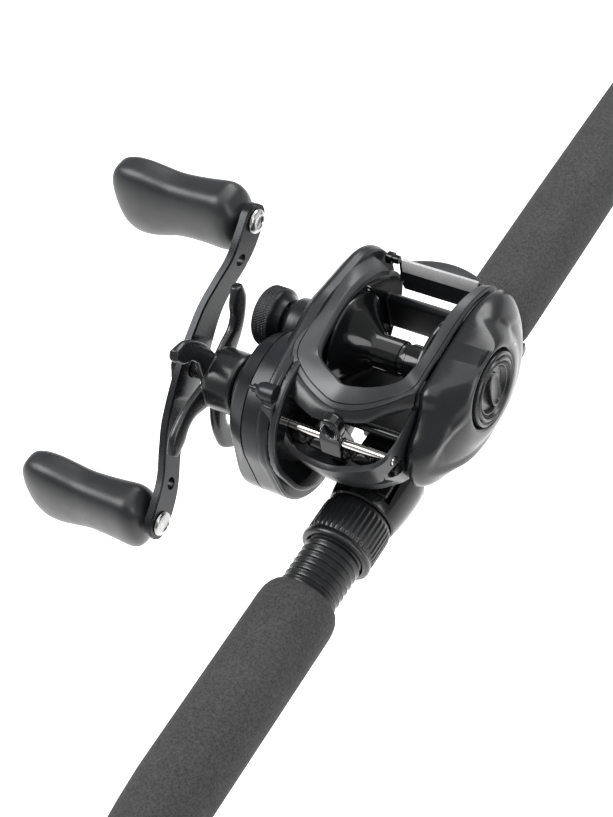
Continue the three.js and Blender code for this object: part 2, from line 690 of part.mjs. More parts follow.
const lobes = 5;
const lobeTip = 26.5;
const starBody = [turned('x', CRANK, [
  [0, -50.6], [5.6, -50.6], [8.2, -48.6], [8.6, -47.4], [8.6, -42.2], [0, -42.2],
])];
for (let i = 0; i < lobes; i += 1) {
  const lobe = plate([
    [3, -5], [8, -5.4], [14, -6], [20, -4.6], [24.6, -1.2], [lobeTip, 2.4], [25.4, 4.8], [22, 4.2],
    [15, 0.8], [8, 3.6], [3, 5],
  ], -51, -48);
  lobe.rotateX((2 * Math.PI * i) / lobes + 0.68);
  lobe.translate(0, CRANK[0], CRANK[1]);
  starBody.push(lobe);
}
add('star_drag', 'anodised', cut(union(...starBody), disc('x', CRANK, 2.9, -60, -40, 18), disc('x', CRANK, 4.5, -46, -41)));

const halfSpan = HANDLE_SPAN / 2;
const endRadius = 5;
const armSide = [
  [-halfSpan - endRadius, -55.6], [-halfSpan + 6, -55.6], [-24, -59], [-14, -60.6], [14, -60.6], [24, -59],
  [halfSpan - 6, -55.6], [halfSpan + endRadius, -55.6], [halfSpan + endRadius, -53], [halfSpan - 6, -53],
  [24, -56.2], [14, -57.6], [-14, -57.6], [-24, -56.2], [-halfSpan + 6, -53], [-halfSpan - endRadius, -53],
];
const armBand = new THREE.ExtrudeGeometry(
  new THREE.Shape(armSide.map(([u, x]) => new THREE.Vector2(u, x))),
  { depth: 24, bevelEnabled: false },
);
armBand.applyMatrix4(new THREE.Matrix4().makeBasis(
  new THREE.Vector3(0, 1, 0),
  new THREE.Vector3(1, 0, 0),
  new THREE.Vector3(0, 0, 1),
));
armBand.translate(0, 0, -12);
const armOutline = belt([[-halfSpan, 0, endRadius], [halfSpan, 0, endRadius], [0, 0, 6.6]]);
const armHoles = [-halfSpan, halfSpan].flatMap((u) => [
  disc('x', [u, 0], 2.3, -62, -50, 16),
  disc('x', [u * 0.74, 0], 1.7, -62, -50, 14),
]);
const arm = cut(
  solid(armBand).intersect(solid(plate(armOutline, -62, -50))),
  disc('x', [0, 0], 2.9, -62, -50, 18),
  ...armHoles,
);
const armMesh = add('handle_arm', 'anodised', arm);
armMesh.position.set(0, CRANK[0], CRANK[1]);
armMesh.rotation.x = HANDLE_TILT;

const handleNut = add('handle_nut', 'steel', union(
  disc('x', ROD, 5.4, -62.8, -60.9, 6),
  disc('x', ROD, 3.4, -64, -62, 16),
));
handleNut.position.set(0, CRANK[0], CRANK[1]);
handleNut.rotation.x = HANDLE_TILT;

// Knob sections: distance out from the arm, half height, half thickness and droop of the paddle.
const knobSections = [
  [0, 4.2, 4.2, 0], [2, 7.4, 6.2, 0], [6, 9.8, 7.2, 0.4], [14, 9.6, 6.8, 1], [24, 9.8, 6.4, 1.8],
  [34, 12, 6.6, 3], [41, 12, 6, 3.6], [44, 9, 4.4, 3.8], [KNOB_LENGTH, 5.6, 2.6, 3.8],
];
const knobStart = -56.2;
const knobSides = 18;
['front', 'rear'].forEach((end, k) => {
  const side = k === 0 ? -1 : 1;
  const y = CRANK[0] + side * halfSpan * Math.cos(HANDLE_TILT);
  const z = CRANK[1] + side * halfSpan * Math.sin(HANDLE_TILT);
  const sections = knobSections.map(([out, high, thick, droop]) => {
    const outline = [];
    for (let i = 0; i < knobSides; i += 1) {
      const angle = (2 * Math.PI * i) / knobSides;
      outline.push([thick * Math.cos(angle), high * Math.sin(angle) - droop]);
    }
    return [knobStart - out, outline];
  }).reverse();
  const knob = cut(solid(loft(sections)), disc('x', ROD, 2.3, knobStart - 33, -50, 14));
  add(`knob_${end}`, 'rubber', knob).position.set(0, y, z);
  const spindle = turned('x', ROD, [
    [0, knobStart - 32.4], [2, knobStart - 32.4], [2, -52.7], [3.7, -52.7], [3.5, -51.9], [1.4, -51.6],
    [0, -51.6],
  ], 16);
  add(`knob_spindle_${end}`, 'steel', spindle).position.set(0, y, z);
});

export default group;
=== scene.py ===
import math

import bmesh
import bpy
from mathutils import Matrix, Vector


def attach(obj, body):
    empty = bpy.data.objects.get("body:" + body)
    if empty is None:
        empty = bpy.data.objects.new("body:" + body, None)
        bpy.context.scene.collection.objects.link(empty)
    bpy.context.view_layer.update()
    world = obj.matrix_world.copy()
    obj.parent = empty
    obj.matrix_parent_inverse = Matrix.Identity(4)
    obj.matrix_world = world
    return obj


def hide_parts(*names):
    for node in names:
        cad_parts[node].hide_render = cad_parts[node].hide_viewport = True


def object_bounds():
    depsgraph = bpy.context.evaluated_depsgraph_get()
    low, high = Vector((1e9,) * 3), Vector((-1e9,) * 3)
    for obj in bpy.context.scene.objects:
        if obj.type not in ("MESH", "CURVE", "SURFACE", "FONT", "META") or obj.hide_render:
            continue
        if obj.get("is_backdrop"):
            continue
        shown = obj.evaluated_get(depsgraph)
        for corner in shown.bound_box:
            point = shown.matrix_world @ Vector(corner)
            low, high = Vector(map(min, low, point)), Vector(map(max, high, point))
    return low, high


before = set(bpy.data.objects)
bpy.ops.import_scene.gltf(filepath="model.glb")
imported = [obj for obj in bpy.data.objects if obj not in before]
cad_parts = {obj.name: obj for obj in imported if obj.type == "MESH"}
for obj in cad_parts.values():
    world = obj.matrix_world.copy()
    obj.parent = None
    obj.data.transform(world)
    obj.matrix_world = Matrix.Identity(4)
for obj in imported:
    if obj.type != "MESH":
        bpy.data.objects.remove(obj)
for leftover in ("Cube", "Light", "Camera"):
    if leftover in bpy.data.objects:
        bpy.data.objects.remove(bpy.data.objects[leftover])
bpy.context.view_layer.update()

MM = 0.001
TAU = 2 * math.pi
SHARP_ANGLE = 38  # degrees; an edge above it is shaded sharp

# ---------------------------------------------------------------- dimensions, millimetres
# A centre across x is given as y and z, and a circle in an outline as y, z and radius.
ROD = (0.0, 0.0)
SPOOL = (0.0, 36.2)
GEAR_CENTRES = 22.2  # drive gear to pinion
WIND_CENTRES = 11  # wind gear to worm gear
CRANK_Y = -20.6
CRANK_Z = SPOOL[1] - math.sqrt(GEAR_CENTRES ** 2 - CRANK_Y ** 2)
CRANK = (CRANK_Y, CRANK_Z)
WORM_Y = -31.2
WORM = (WORM_Y, CRANK_Z + math.sqrt(WIND_CENTRES ** 2 - (CRANK_Y - WORM_Y) ** 2))
RAIL = (-32.0, 35.4)
TILT = 0.649  # lift of the handle at rest, radians
HALF_SPAN = 46.0  # crank axis to knob axis
GUIDE_X = -2.0  # line guide at rest
EYE = (-1.2, 40.9)  # centre of the line guide's ring, x and z
LOWER_CASE = (-20.5, 15.6, 19.6)  # round bulge under the crank
GEAR_OUTLINE = [(CRANK_Y, CRANK_Z, 21.4), (-19, 20.5, 20.4), (0, 36.2, 15.5), (22, 31, 9), (8, 15, 7)]
COVER_OUTLINE = [(CRANK_Y, CRANK_Z, 21.4), (-19, 20.5, 20.6), (-1, 36.2, 18.4), (14, 35.5, 17.5),
    (8, 15, 7)]
# The line guides from butt to tip: station, ring radius, height over the rod axis, blank radius there.
GUIDES = [
    (-398, 6, 17, 4.75), (-655, 5, 14.5, 4.2), (-828, 4.2, 12, 3.2), (-1003, 3.6, 10, 2.55),
    (-1158, 3.2, 8.6, 1.95), (-1293, 3, 7.6, 1.55), (-1413, 2.8, 7, 1.35),
]


# ---------------------------------------------------------------- materials
def new_material(name):
    material = bpy.data.materials.new(name)
    material.use_nodes = True
    nodes = material.node_tree.nodes
    shader = nodes["Principled BSDF"]
    coords = nodes.new("ShaderNodeTexCoord")
    return material, nodes, material.node_tree.links, shader, coords


def noise(nodes, links, coords, scale, detail=4.0, roughness=0.55):
    texture = nodes.new("ShaderNodeTexNoise")
    texture.inputs["Scale"].default_value = scale
    texture.inputs["Detail"].default_value = detail
    texture.inputs["Roughness"].default_value = roughness
    links.new(coords.outputs["Object"], texture.inputs["Vector"])
    return texture.outputs["Fac"]


def ramp(nodes, links, factor, low, high, start=0.3, end=0.7):
    node = nodes.new("ShaderNodeValToRGB")
    node.color_ramp.elements[0].position = start
    node.color_ramp.elements[0].color = (*low, 1)
    node.color_ramp.elements[1].position = end
    node.color_ramp.elements[1].color = (*high, 1)
    links.new(factor, node.inputs["Fac"])
    return node.outputs["Color"]


def spread(nodes, links, factor, low, high):
    start = 0.3
    end = 0.7
    node = nodes.new("ShaderNodeMapRange")
    node.inputs["From Min"].default_value = start
    node.inputs["From Max"].default_value = end
    node.inputs["To Min"].default_value = low
    node.inputs["To Max"].default_value = high
    links.new(factor, node.inputs["Value"])
    return node.outputs["Result"]


def bump(nodes, links, shader, height, strength, distance):
    node = nodes.new("ShaderNodeBump")
    node.inputs["Strength"].default_value = strength
    node.inputs["Distance"].default_value = distance
    links.new(height, node.inputs["Height"])
    links.new(node.outputs["Normal"], shader.inputs["Normal"])
    return node


def surface(name, low, high, rough, metal=0.0, patch=60, grain=1800, strength=0.12, depth=0.00004, coat=0.0,
            coat_rough=0.1, specular=0.5):
    material, nodes, links, shader, coords = new_material(name)
    links.new(ramp(nodes, links, noise(nodes, links, coords, patch), low, high),
        shader.inputs["Base Color"])
    links.new(spread(nodes, links, noise(nodes, links, coords, patch * 3.1, 6), rough[0], rough[1]),
              shader.inputs["Roughness"])
    bump(nodes, links, shader, noise(nodes, links, coords, grain, 3), strength, depth)
    shader.inputs["Metallic"].default_value = metal
    shader.inputs["Coat Weight"].default_value = coat
    shader.inputs["Coat Roughness"].default_value = coat_rough
    shader.inputs["Specular IOR Level"].default_value = specular
    return material


def foam_material(name):
    material, nodes, links, shader, coords = new_material(name)
    cells = nodes.new("ShaderNodeTexVoronoi")
    cells.inputs["Scale"].default_value = 1500
    links.new(coords.outputs["Object"], cells.inputs["Vector"])
    fleck = noise(nodes, links, coords, 900, 5, 0.7)
    mixed = nodes.new("ShaderNodeMath")
    mixed.operation = "MULTIPLY_ADD"
    links.new(cells.outputs["Distance"], mixed.inputs[0])
    mixed.inputs[1].default_value = 0.55
    links.new(fleck, mixed.inputs[2])
    links.new(ramp(nodes, links, mixed.outputs["Value"], (0.013, 0.013, 0.0135), (0.050, 0.050, 0.051),
        0.35, 1.05),
              shader.inputs["Base Color"])
    links.new(spread(nodes, links, noise(nodes, links, coords, 90), 0.78, 0.95), shader.inputs["Roughness"])
    bump(nodes, links, shader, mixed.outputs["Value"], 0.45, 0.00018)
    shader.inputs["Specular IOR Level"].default_value = 0.35
    return material


def wave_material(name, low, high, bands, axis, rough, metal=0.0, strength=0.4, depth=0.0001, coat=0.0):
    material, nodes, links, shader, coords = new_material(name)
    wave = nodes.new("ShaderNodeTexWave")
    wave.bands_direction = axis
    wave.inputs["Scale"].default_value = bands
    wave.inputs["Distortion"].default_value = 0.4
    wave.inputs["Detail"].default_value = 2
    links.new(coords.outputs["Object"], wave.inputs["Vector"])
    links.new(ramp(nodes, links, wave.outputs["Fac"], low, high, 0.1, 0.9), shader.inputs["Base Color"])
    links.new(spread(nodes, links, noise(nodes, links, coords, 300), rough[0], rough[1]),
        shader.inputs["Roughness"])
    bump(nodes, links, shader, wave.outputs["Fac"], strength, depth)
    shader.inputs["Metallic"].default_value = metal
    shader.inputs["Coat Weight"].default_value = coat
    return material


foam = foam_material("eva_foam")
shell = surface("black_shell", (0.007, 0.0075, 0.0085), (0.012, 0.0125, 0.014), (0.22, 0.30), patch=45,
    grain=2600,
                strength=0.08, depth=0.00003)
shell_soft = surface("black_satin", (0.009, 0.0095, 0.011), (0.015, 0.016, 0.018), (0.30, 0.40), patch=55,
                     grain=3200, strength=0.14, depth=0.00003)
satin = surface("grey_satin_cover", (0.030, 0.032, 0.034), (0.042, 0.044, 0.047), (0.34, 0.42), metal=0.3,
                patch=50, grain=3800, strength=0.16, depth=0.00003, specular=0.7)
bar_face = surface("bright_bar_face", (0.36, 0.36, 0.365), (0.44, 0.44, 0.445), (0.24, 0.32), metal=0.1,
    patch=60,
                   grain=3400, strength=0.1, depth=0.00002)
gloss = surface("gloss_black", (0.003, 0.0033, 0.0037), (0.005, 0.0054, 0.006), (0.08, 0.14), patch=40,
    grain=900,
                strength=0.03, depth=0.00002, coat=0.12, coat_rough=0.05, specular=0.4)
anodised = surface("dark_anodised", (0.008, 0.0085, 0.010), (0.014, 0.015, 0.018), (0.24, 0.32), metal=0.5,
                   patch=80, grain=4200, strength=0.1, depth=0.00002)
gunmetal = surface("gunmetal_edge", (0.16, 0.17, 0.19), (0.24, 0.25, 0.28), (0.24, 0.34), metal=0.9,
    patch=120,
                   grain=3600, strength=0.1, depth=0.00002)
drum_paint = surface("drum_paint", (0.012, 0.013, 0.015), (0.019, 0.020, 0.023), (0.26, 0.35), metal=0.4,
    patch=45,
                     grain=3400, strength=0.12, depth=0.00003)
steel = surface("steel", (0.36, 0.36, 0.36), (0.50, 0.50, 0.49), (0.18, 0.30), metal=1.0, patch=200,
    grain=2400,
                strength=0.08, depth=0.00002)
dark_steel = surface("black_oxide_steel", (0.02, 0.02, 0.021), (0.035, 0.035, 0.036), (0.16, 0.26),
    metal=0.8,
                     patch=200, grain=2400, strength=0.06, depth=0.00002)
chrome = surface("chrome", (0.66, 0.64, 0.62), (0.78, 0.76, 0.74), (0.04, 0.10), metal=1.0, patch=160,
    grain=1200,
                 strength=0.02, depth=0.00001)
brass = surface("brass", (0.42, 0.27, 0.09), (0.56, 0.38, 0.15), (0.22, 0.36), metal=1.0, patch=150,
    grain=2200,
                strength=0.08, depth=0.00002)
rubber = surface("soft_rubber", (0.010, 0.0105, 0.012), (0.016, 0.017, 0.019), (0.34, 0.42), patch=60,
    grain=2600,
                 strength=0.18, depth=0.00005)
ceramic = surface("ceramic", (0.012, 0.013, 0.015), (0.022, 0.024, 0.027), (0.06, 0.12), patch=200,
    grain=900,
                  strength=0.03, depth=0.00001, coat=0.4)
carbon = wave_material("carbon_disc", (0.012, 0.012, 0.013), (0.05, 0.05, 0.052), 700, "DIAGONAL",
    (0.5, 0.65))
blank_finish = wave_material("graphite_blank", (0.006, 0.007, 0.008), (0.014, 0.015, 0.017), 260, "Y",
    (0.14, 0.22),
                             strength=0.08, depth=0.00004, coat=0.6)
thread_wrap = wave_material("thread_wrap", (0.006, 0.006, 0.007), (0.028, 0.029, 0.032), 900, "Y",
    (0.18, 0.28),
                            strength=0.5, depth=0.00008, coat=0.8)
trim_wrap = wave_material("trim_wrap", (0.12, 0.13, 0.15), (0.28, 0.3, 0.33), 1200, "Y", (0.2, 0.3),
    metal=0.6,
                          strength=0.5, depth=0.00006, coat=0.6)
mark = surface("index_mark", (0.62, 0.62, 0.62), (0.74, 0.74, 0.74), (0.4, 0.5), patch=300, grain=1500,
               strength=0.05, depth=0.00001)


# ---------------------------------------------------------------- mesh helpers
def place(axis, centre, station, radius, angle):
    """A point at a radius and angle round an axis; centre is the other two coordinates in order."""
    a = radius * math.cos(angle)
    b = radius * math.sin(angle)
    if axis == "x":
        return (station, centre[0] + a, centre[1] + b)
    if axis == "z":
        return (centre[0] + a, centre[1] + b, station)
    return (centre[0] + a, station, centre[1] + b)


def squared(value, power):
    """A sine or cosine pushed outwards, which makes a round section squarer as the power falls."""
    return math.copysign(abs(value) ** power, value)


def mesh_object(name, points, faces):
    """New object from points in millimetres, with its faces turned outwards."""
    mesh = bpy.data.meshes.new(name)
    mesh.from_pydata([(x * MM, y * MM, z * MM) for x, y, z in points], [], faces)
    work = bmesh.new()
    work.from_mesh(mesh)
    bmesh.ops.remove_doubles(work, verts=work.verts, dist=1e-7)
    bmesh.ops.recalc_face_normals(work, faces=work.faces)
    work.to_mesh(mesh)
    work.free()
    piece = bpy.data.objects.new(name, mesh)
    bpy.context.collection.objects.link(piece)
    return piece


def turned(name, axis, centre, profile, segments=64, radius=None):
    """Revolved piece. profile is (radius, station) pairs; radius(r, s, angle) may modulate the surface."""
    points = []
    faces = []
    rows = []
    for r, s in profile:
        if r <= 0:
            rows.append([len(points)])
            points.append(place(axis, centre, s, 0, 0))
            continue
        row = []
        for i in range(segments):
            angle = TAU * i / segments
            reach = radius(r, s, angle) if radius else r
            row.append(len(points))
            points.append(place(axis, centre, s, reach, angle))
        rows.append(row)
    closed = profile[0] == profile[-1] and profile[0][0] > 0
    if closed:
        rows[-1] = rows[0]
    for a, b in zip(rows, rows[1:]):
        for i in range(segments):
            j = (i + 1) % segments
            if len(a) == 1 and len(b) == 1:
                continue
            if len(a) == 1:
                faces.append((a[0], b[j], b[i]))
            elif len(b) == 1:
                faces.append((a[i], a[j], b[0]))
            else:
                faces.append((a[i], a[j], b[j], b[i]))
    return mesh_object(name, points, faces)


def bore(name, centre, radius, start, end, segments):
    """Plain round bar along x, which mostly cuts a hole."""
    return turned(name, "x", centre, [(0, start), (radius, start), (radius, end), (0, end)], segments)


def tube(name, axis, centre, outer, inner, start, end, segments=64, chamfer=0.25):
    """Ring with chamfered ends between two stations along an axis."""
    c = chamfer
    profile = [
        (inner + c, start), (outer - c, start), (outer, start + c), (outer, end - c), (outer - c, end),
        (inner + c, end), (inner, end - c), (inner, start + c), (inner + c, start),
    ]
    return turned(name, axis, centre, profile, segments)


def loft(name, rows, cap=True):
    """Closed skin over rows of points, each row a closed ring with the same number of points."""
    count = len(rows[0])
    points = [point for row in rows for point in row]
    faces = []
    for r in range(len(rows) - 1):
        for i in range(count):
            a = r * count + i
            b = r * count + (i + 1) % count
            faces.append((a, b, b + count, a + count))
    if cap:
        faces.append(tuple(range(count)))
        faces.append(tuple((len(rows) - 1) * count + i for i in range(count)))
    return mesh_object(name, points, faces)


def belt(circles, inset=0.0, count=96):
    """Outline of a belt pulled round circles given as y, z and radius, drawn inwards by inset."""
    outline = []
    for i in range(count):
        angle = TAU * i / count
        c, s = math.cos(angle), math.sin(angle)
        best = max(circles, key=lambda k: k[0] * c + k[1] * s + k[2])
        radius = max(best[2] - inset, 0.2)
        outline.append((best[0] + radius * c, best[1] + radius * s))
    return outline


def even(outline, count):
    """The same closed outline with its points spaced evenly along it."""
    loop = outline + outline[:1]
    lengths = [math.dist(a, b) for a, b in zip(loop, loop[1:])]
    total = sum(lengths)
    result = []
    walked = 0.0
    edge = 0
    for i in range(count):
        target = total * i / count
        while walked + lengths[edge] < target:
            walked += lengths[edge]
            edge += 1
        t = (target - walked) / max(lengths[edge], 1e-9)
        a, b = loop[edge], loop[edge + 1]
        result.append(tuple(p + (q - p) * t for p, q in zip(a, b)))
    return result


def plate(name, outline, x0, x1):
    """Flat plate of a y, z outline between two x stations."""
    rows = [[(x0, y, z) for y, z in outline], [(x1, y, z) for y, z in outline]]
    return loft(name, rows)


def block(name, low, high):
    """Box between two corners."""
    (x0, y0, z0), (x1, y1, z1) = low, high
    ring = [(y0, z0), (y1, z0), (y1, z1), (y0, z1)]
    return plate(name, ring, x0, x1)


def spline(points, steps=8, closed=False):
    """Points along a Catmull-Rom curve through the given points."""
    n = len(points)
    out = []
    for i in range(n if closed else n - 1):
        p = [points[(i + k) % n] if closed else points[min(max(i + k, 0), n - 1)] for k in (-1, 0, 1, 2)]
        for s in range(steps):
            t = s / steps
            out.append(tuple(
                0.5 * (2 * b + (c - a) * t + (2 * a - 5 * b + 4 * c - d) * t * t
                       + (3 * b - 3 * c + d - a) * t ** 3)
                for a, b, c, d in zip(*p)))
    if not closed:
        out.append(tuple(points[-1]))
    return out


def join(name, pieces):
    """Puts several meshes into one object, ready to be moulded together."""
    work = bmesh.new()
    for piece in pieces:
        work.from_mesh(piece.data)
        bpy.data.objects.remove(piece)
    mesh = bpy.data.meshes.new(name)
    work.to_mesh(mesh)
    work.free()
    piece = bpy.data.objects.new(name, mesh)
    bpy.context.collection.objects.link(piece)
    return piece


def settle(piece):
    """Applies the piece's modifiers to its mesh."""
    graph = bpy.context.evaluated_depsgraph_get()
    mesh = bpy.data.meshes.new_from_object(piece.evaluated_get(graph))
    piece.modifiers.clear()
    piece.data = mesh
    return piece


def carve(piece, cutters, operation="DIFFERENCE"):
    """Cuts the cutters out of the piece, or joins them to it, and deletes them."""
    for cutter in cutters:
        modifier = piece.modifiers.new("cut", "BOOLEAN")
        modifier.operation = operation
        modifier.solver = "EXACT"
        modifier.object = cutter
    settle(piece)
    for cutter in cutters:
        bpy.data.objects.remove(cutter)
    return piece


def mould(piece, voxel, smooth=3):
    """Melts joined solids into one moulded skin with softened edges."""
    modifier = piece.modifiers.new("remesh", "REMESH")
    modifier.mode = "VOXEL"
    modifier.voxel_size = voxel * MM
    modifier.adaptivity = 0.0
    if smooth:
        modifier = piece.modifiers.new("smooth", "SMOOTH")
        modifier.factor = 0.5
        modifier.iterations = smooth
    return settle(piece)


def bevel(piece, width, segments=3, angle=30):
    """Rounds the edges that are sharper than the angle."""
    modifier = piece.modifiers.new("bevel", "BEVEL")
    modifier.width = width * MM
    modifier.segments = segments
    modifier.limit_method = "ANGLE"
    modifier.angle_limit = math.radians(angle)
    modifier.use_clamp_overlap = True
    return piece


def dress(piece, material, body, replaces=(), sharp=SHARP_ANGLE):
    """Finishes a piece: smooth faces up to the sharp angle, its material, its body and what it replaces."""
    for polygon in piece.data.polygons:
        polygon.use_smooth = True
    piece.data.set_sharp_from_angle(angle=math.radians(sharp))
    piece.data.materials.clear()
    piece.data.materials.append(material)
    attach(piece, body)
    if replaces:
        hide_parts(*replaces)
    return piece


def refine(node, material, body, width=0.15):
    """A finer copy of a CAD node: welded, with its edges broken."""
    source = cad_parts[node]
    mesh = source.data.copy()
    work = bmesh.new()
    work.from_mesh(mesh)
    bmesh.ops.remove_doubles(work, verts=work.verts, dist=2e-6)
    bmesh.ops.dissolve_limit(work, angle_limit=math.radians(1), verts=work.verts, edges=work.edges)
    work.to_mesh(mesh)
    work.free()
    piece = bpy.data.objects.new(node + "_fine", mesh)
    bpy.context.collection.objects.link(piece)
    if width:
        bevel(piece, width, 2, SHARP_ANGLE)
        settle(piece)
    return dress(piece, material, body, [node])


# ---------------------------------------------------------------- rod
dress(turned("blank_butt_tube", "y", ROD, [
    (0, -603), (3.4, -603), (3.4, -544), (4.2, -543), (4.6, -400), (5.0, -290), (5.4, -170), (5.8, -60),
    (5.8, 304), (0, 304)], 48),
    blank_finish, "rod", ["blank_butt"])
dress(turned("blank_tip_tube", "y", ROD, [
    (0, -1509), (0.9, -1509), (1.7, -1200), (2.8, -900), (3.9, -640), (4.7, -615), (4.9, -611), (4.9, -544),
    (4.6, -543.4), (3.7, -543.4), (3.7, -603.3), (0, -603.3)], 48),
    blank_finish, "tip_section", ["blank_tip"])
for name, at in (("ferrule_wrap_low", -548), ("ferrule_wrap_high", -606)):
    dress(tube(name, "y", ROD, 5.25, 4.88, at - 4, at + 4, 48, 0.15), thread_wrap, "tip_section")
    dress(tube(name + "_trim", "y", ROD, 5.32, 4.88, at + 4.1, at + 5.1, 48, 0.1), trim_wrap, "tip_section")

dress(turned("butt_cap_moulding", "y", ROD, [
    (6.1, 296.4), (12.4, 296.4), (12.7, 296.9), (12.9, 299), (12.5, 299.7), (12.5, 300.6), (12.9, 301.3),
    (12.9, 306), (12.6, 309.5), (11.9, 311.3), (10.8, 312), (7, 312), (6.4, 311.4), (0, 311.3), (0, 304.4),
    (6.1, 304.4), (6.1, 296.4)], 96), rubber, "rod", ["butt_cap"])
dress(turned("rear_grip_foam", "y", ROD, [
    (6.1, 48.6), (9.4, 48.6), (10.6, 49.2), (11.4, 50.4), (11.75, 52.2), (11.8, 56), (11.8, 100),
    (11.5, 140),
    (11, 180), (11, 220), (11.4, 260), (12.1, 290), (12.4, 295), (12.2, 296), (6.1, 296), (6.1, 48.6)], 96),
    foam, "rod", ["rear_grip"])
dress(turned("fore_grip_foam", "y", ROD, [
    (6.1, -168), (6.6, -168), (7.2, -167.4), (8.2, -163.5), (9.2, -157), (10.4, -148), (11.3, -138),
    (11.8, -128),
    (11.8, -110), (11.8, -68.6), (11.6, -66.2), (11.1, -64.4), (10.3, -63), (9.2, -62.2), (8.2, -62),
    (6.1, -62),
    (6.1, -168)], 96), foam, "rod", ["fore_grip"])
dress(turned("winding_check_ring", "y", ROD, [
    (6.1, -172.2), (6.5, -172.2), (6.9, -171.6), (7.3, -170), (7.3, -168.8), (6.9, -168.3), (6.1, -168.3),
    (6.1, -172.2)], 64), gunmetal, "rod", ["winding_check"])
refine("hook_keeper", chrome, "rod", 0.2)
for end, start, stop in (("front", -204.6, -201.6), ("rear", -190.4, -187.4)):
    dress(tube(f"keeper_wrap_{end}", "y", ROD, 6.55, 5.5, start, stop, 48, 0.1), thread_wrap, "rod")

# reel seat: rounded thread, barrel, fixed hood and trigger
thread = []
y = -61.7
while y < -47:
    for step, r in ((0, 8.1), (0.35, 8.25), (0.75, 8.65), (1.1, 8.85), (1.45, 8.65), (1.85, 8.25)):
        thread.append((r, y + step))
    y += 2.2
seat = turned("reel_seat_body", "y", ROD, [(6.1, -61.7)] + thread + [
    (8.1, -46.2), (8.85, -45.4), (8.85, -32), (8.9, -31.4), (8.9, -13.6), (10.0, -13.6), (10.4, -13.1),
    (10.4, 22),
    (10.7, 25), (11.5, 28.4), (11.8, 31), (11.8, 39), (11.6, 43), (11.1, 46.6), (10.6, 47.9), (9.8, 48.3),
    (6.1, 48.3), (6.1, -61.7)], 96)
trigger_rings = []
for cy, cz, half_y, half_x in ((24.0, -8.2, 8.4, 5.2), (25.0, -11.6, 5.6, 4.2), (26.6, -15.6, 4.2, 3.6),
                               (27.4, -20, 3.7, 3.4), (26.8, -24.4, 3.6, 3.2), (25.2, -28.4, 3.2, 3.0),
                               (23.0, -31.6, 2.4, 2.5), (21.6, -33.4, 1.3, 1.5)):
    trigger_rings.append([(half_x * math.cos(TAU * k / 24), cy + half_y * math.sin(TAU * k / 24), cz)
                          for k in range(24)])
trigger = loft("trigger", trigger_rings)
carve(trigger, [turned("core", "y", ROD, [(0, 0), (7.5, 0), (7.5, 45), (0, 45)], 48)])
carve(seat, [trigger], "UNION")
carve(seat, [block("flat", (-14, -29, 7.3), (14, 26, 16)),
    block("pocket", (-8.8, 20, 7.3), (8.8, 31, 10.5))])
dress(bevel(seat, 0.25, 2, 40), shell, "rod", ["reel_seat"], 35)

hood = turned("front_hood", "y", ROD, [
    (9.2, -31.2), (10.0, -31.2), (10.5, -30.8), (10.9, -29.2), (11.3, -26.5), (11.7, -22), (11.8, -18),
    (11.8, -14.6), (11.4, -13.9), (9.2, -13.9), (9.2, -31.2)], 96)
carve(hood, [block("pocket", (-8.8, -28.4, 4), (8.8, -13, 10.5))])
dress(bevel(hood, 0.25, 2, 40), gloss, "moving_hood", ["moving_hood"], 35)


RIBS = 38
RIB_DEPTH = 0.34


def ribbed(r, s, angle):
    """Radius of the lock nut with its flat-topped ribs."""
    if r < 10:
        return r
    wave = math.cos(angle * RIBS)
    return r - RIB_DEPTH * (1 - max(-0.5, min(0.5, wave)) * 2) * 0.5 if -43.2 < s < -33 else r


dress(turned("lock_nut_ring", "y", ROD, [
    (9.15, -46.2), (10.2, -46.2), (10.7, -45.8), (10.85, -45.2), (10.85, -44.4), (10.5, -43.9),
    (10.2, -43.6),
    (10.25, -43.2), (10.55, -42.9), (10.7, -42.2), (10.7, -34.2), (10.55, -33.3), (10.3, -32.9),
    (10.1, -32.2),
    (9.8, -31.6), (9.15, -31.6), (9.15, -46.2)], 304, ribbed), shell, "lock_nut", ["lock_nut"], 50)

# guides
for i, (y, ring, height, blank) in enumerate(GUIDES, 1):
    body = "rod" if i == 1 else "tip_section"
    refine(f"guide_{i}", gunmetal, body, 0.12)
    dress(turned(f"guide_ring_{i}_ceramic", "y", (0, height), [
        (ring, y), (ring + 0.12, y - 0.6), (ring + 0.4, y - 1.05), (ring + 0.7, y - 1.0),
        (ring + 0.8, y - 0.6),
        (ring + 0.8, y + 0.6), (ring + 0.7, y + 1.0), (ring + 0.4, y + 1.05), (ring + 0.12, y + 0.6),
        (ring, y)],
        48), ceramic, body, [f"guide_ring_{i}"])
    inner = (blank + 0.12) / math.cos(math.pi / 10)
    for end, side in (("front", -1), ("rear", 1)):
        mid = y + side * (1.9 * ring + 2.2)
        half = 1.1 * ring + 1.6
        dress(turned(f"guide_wrap_{i}_{end}", "y", ROD, [
            (inner, mid - half), (inner + 0.4, mid - half), (inner + 0.95, mid - half + 1.5),
            (inner + 1.05, mid),
            (inner + 0.95, mid + half - 1.5), (inner + 0.4, mid + half), (inner, mid + half),
            (inner, mid - half)],
            40), thread_wrap, body)
        dress(tube(f"guide_trim_{i}_{end}", "y", ROD, inner + 1.12, inner + 0.3, mid - 0.5, mid + 0.5, 40,
            0.1),
              trim_wrap, body)
refine("tip_top", gunmetal, "tip_section", 0.1)
refine("tip_ring", ceramic, "tip_section", 0.15)

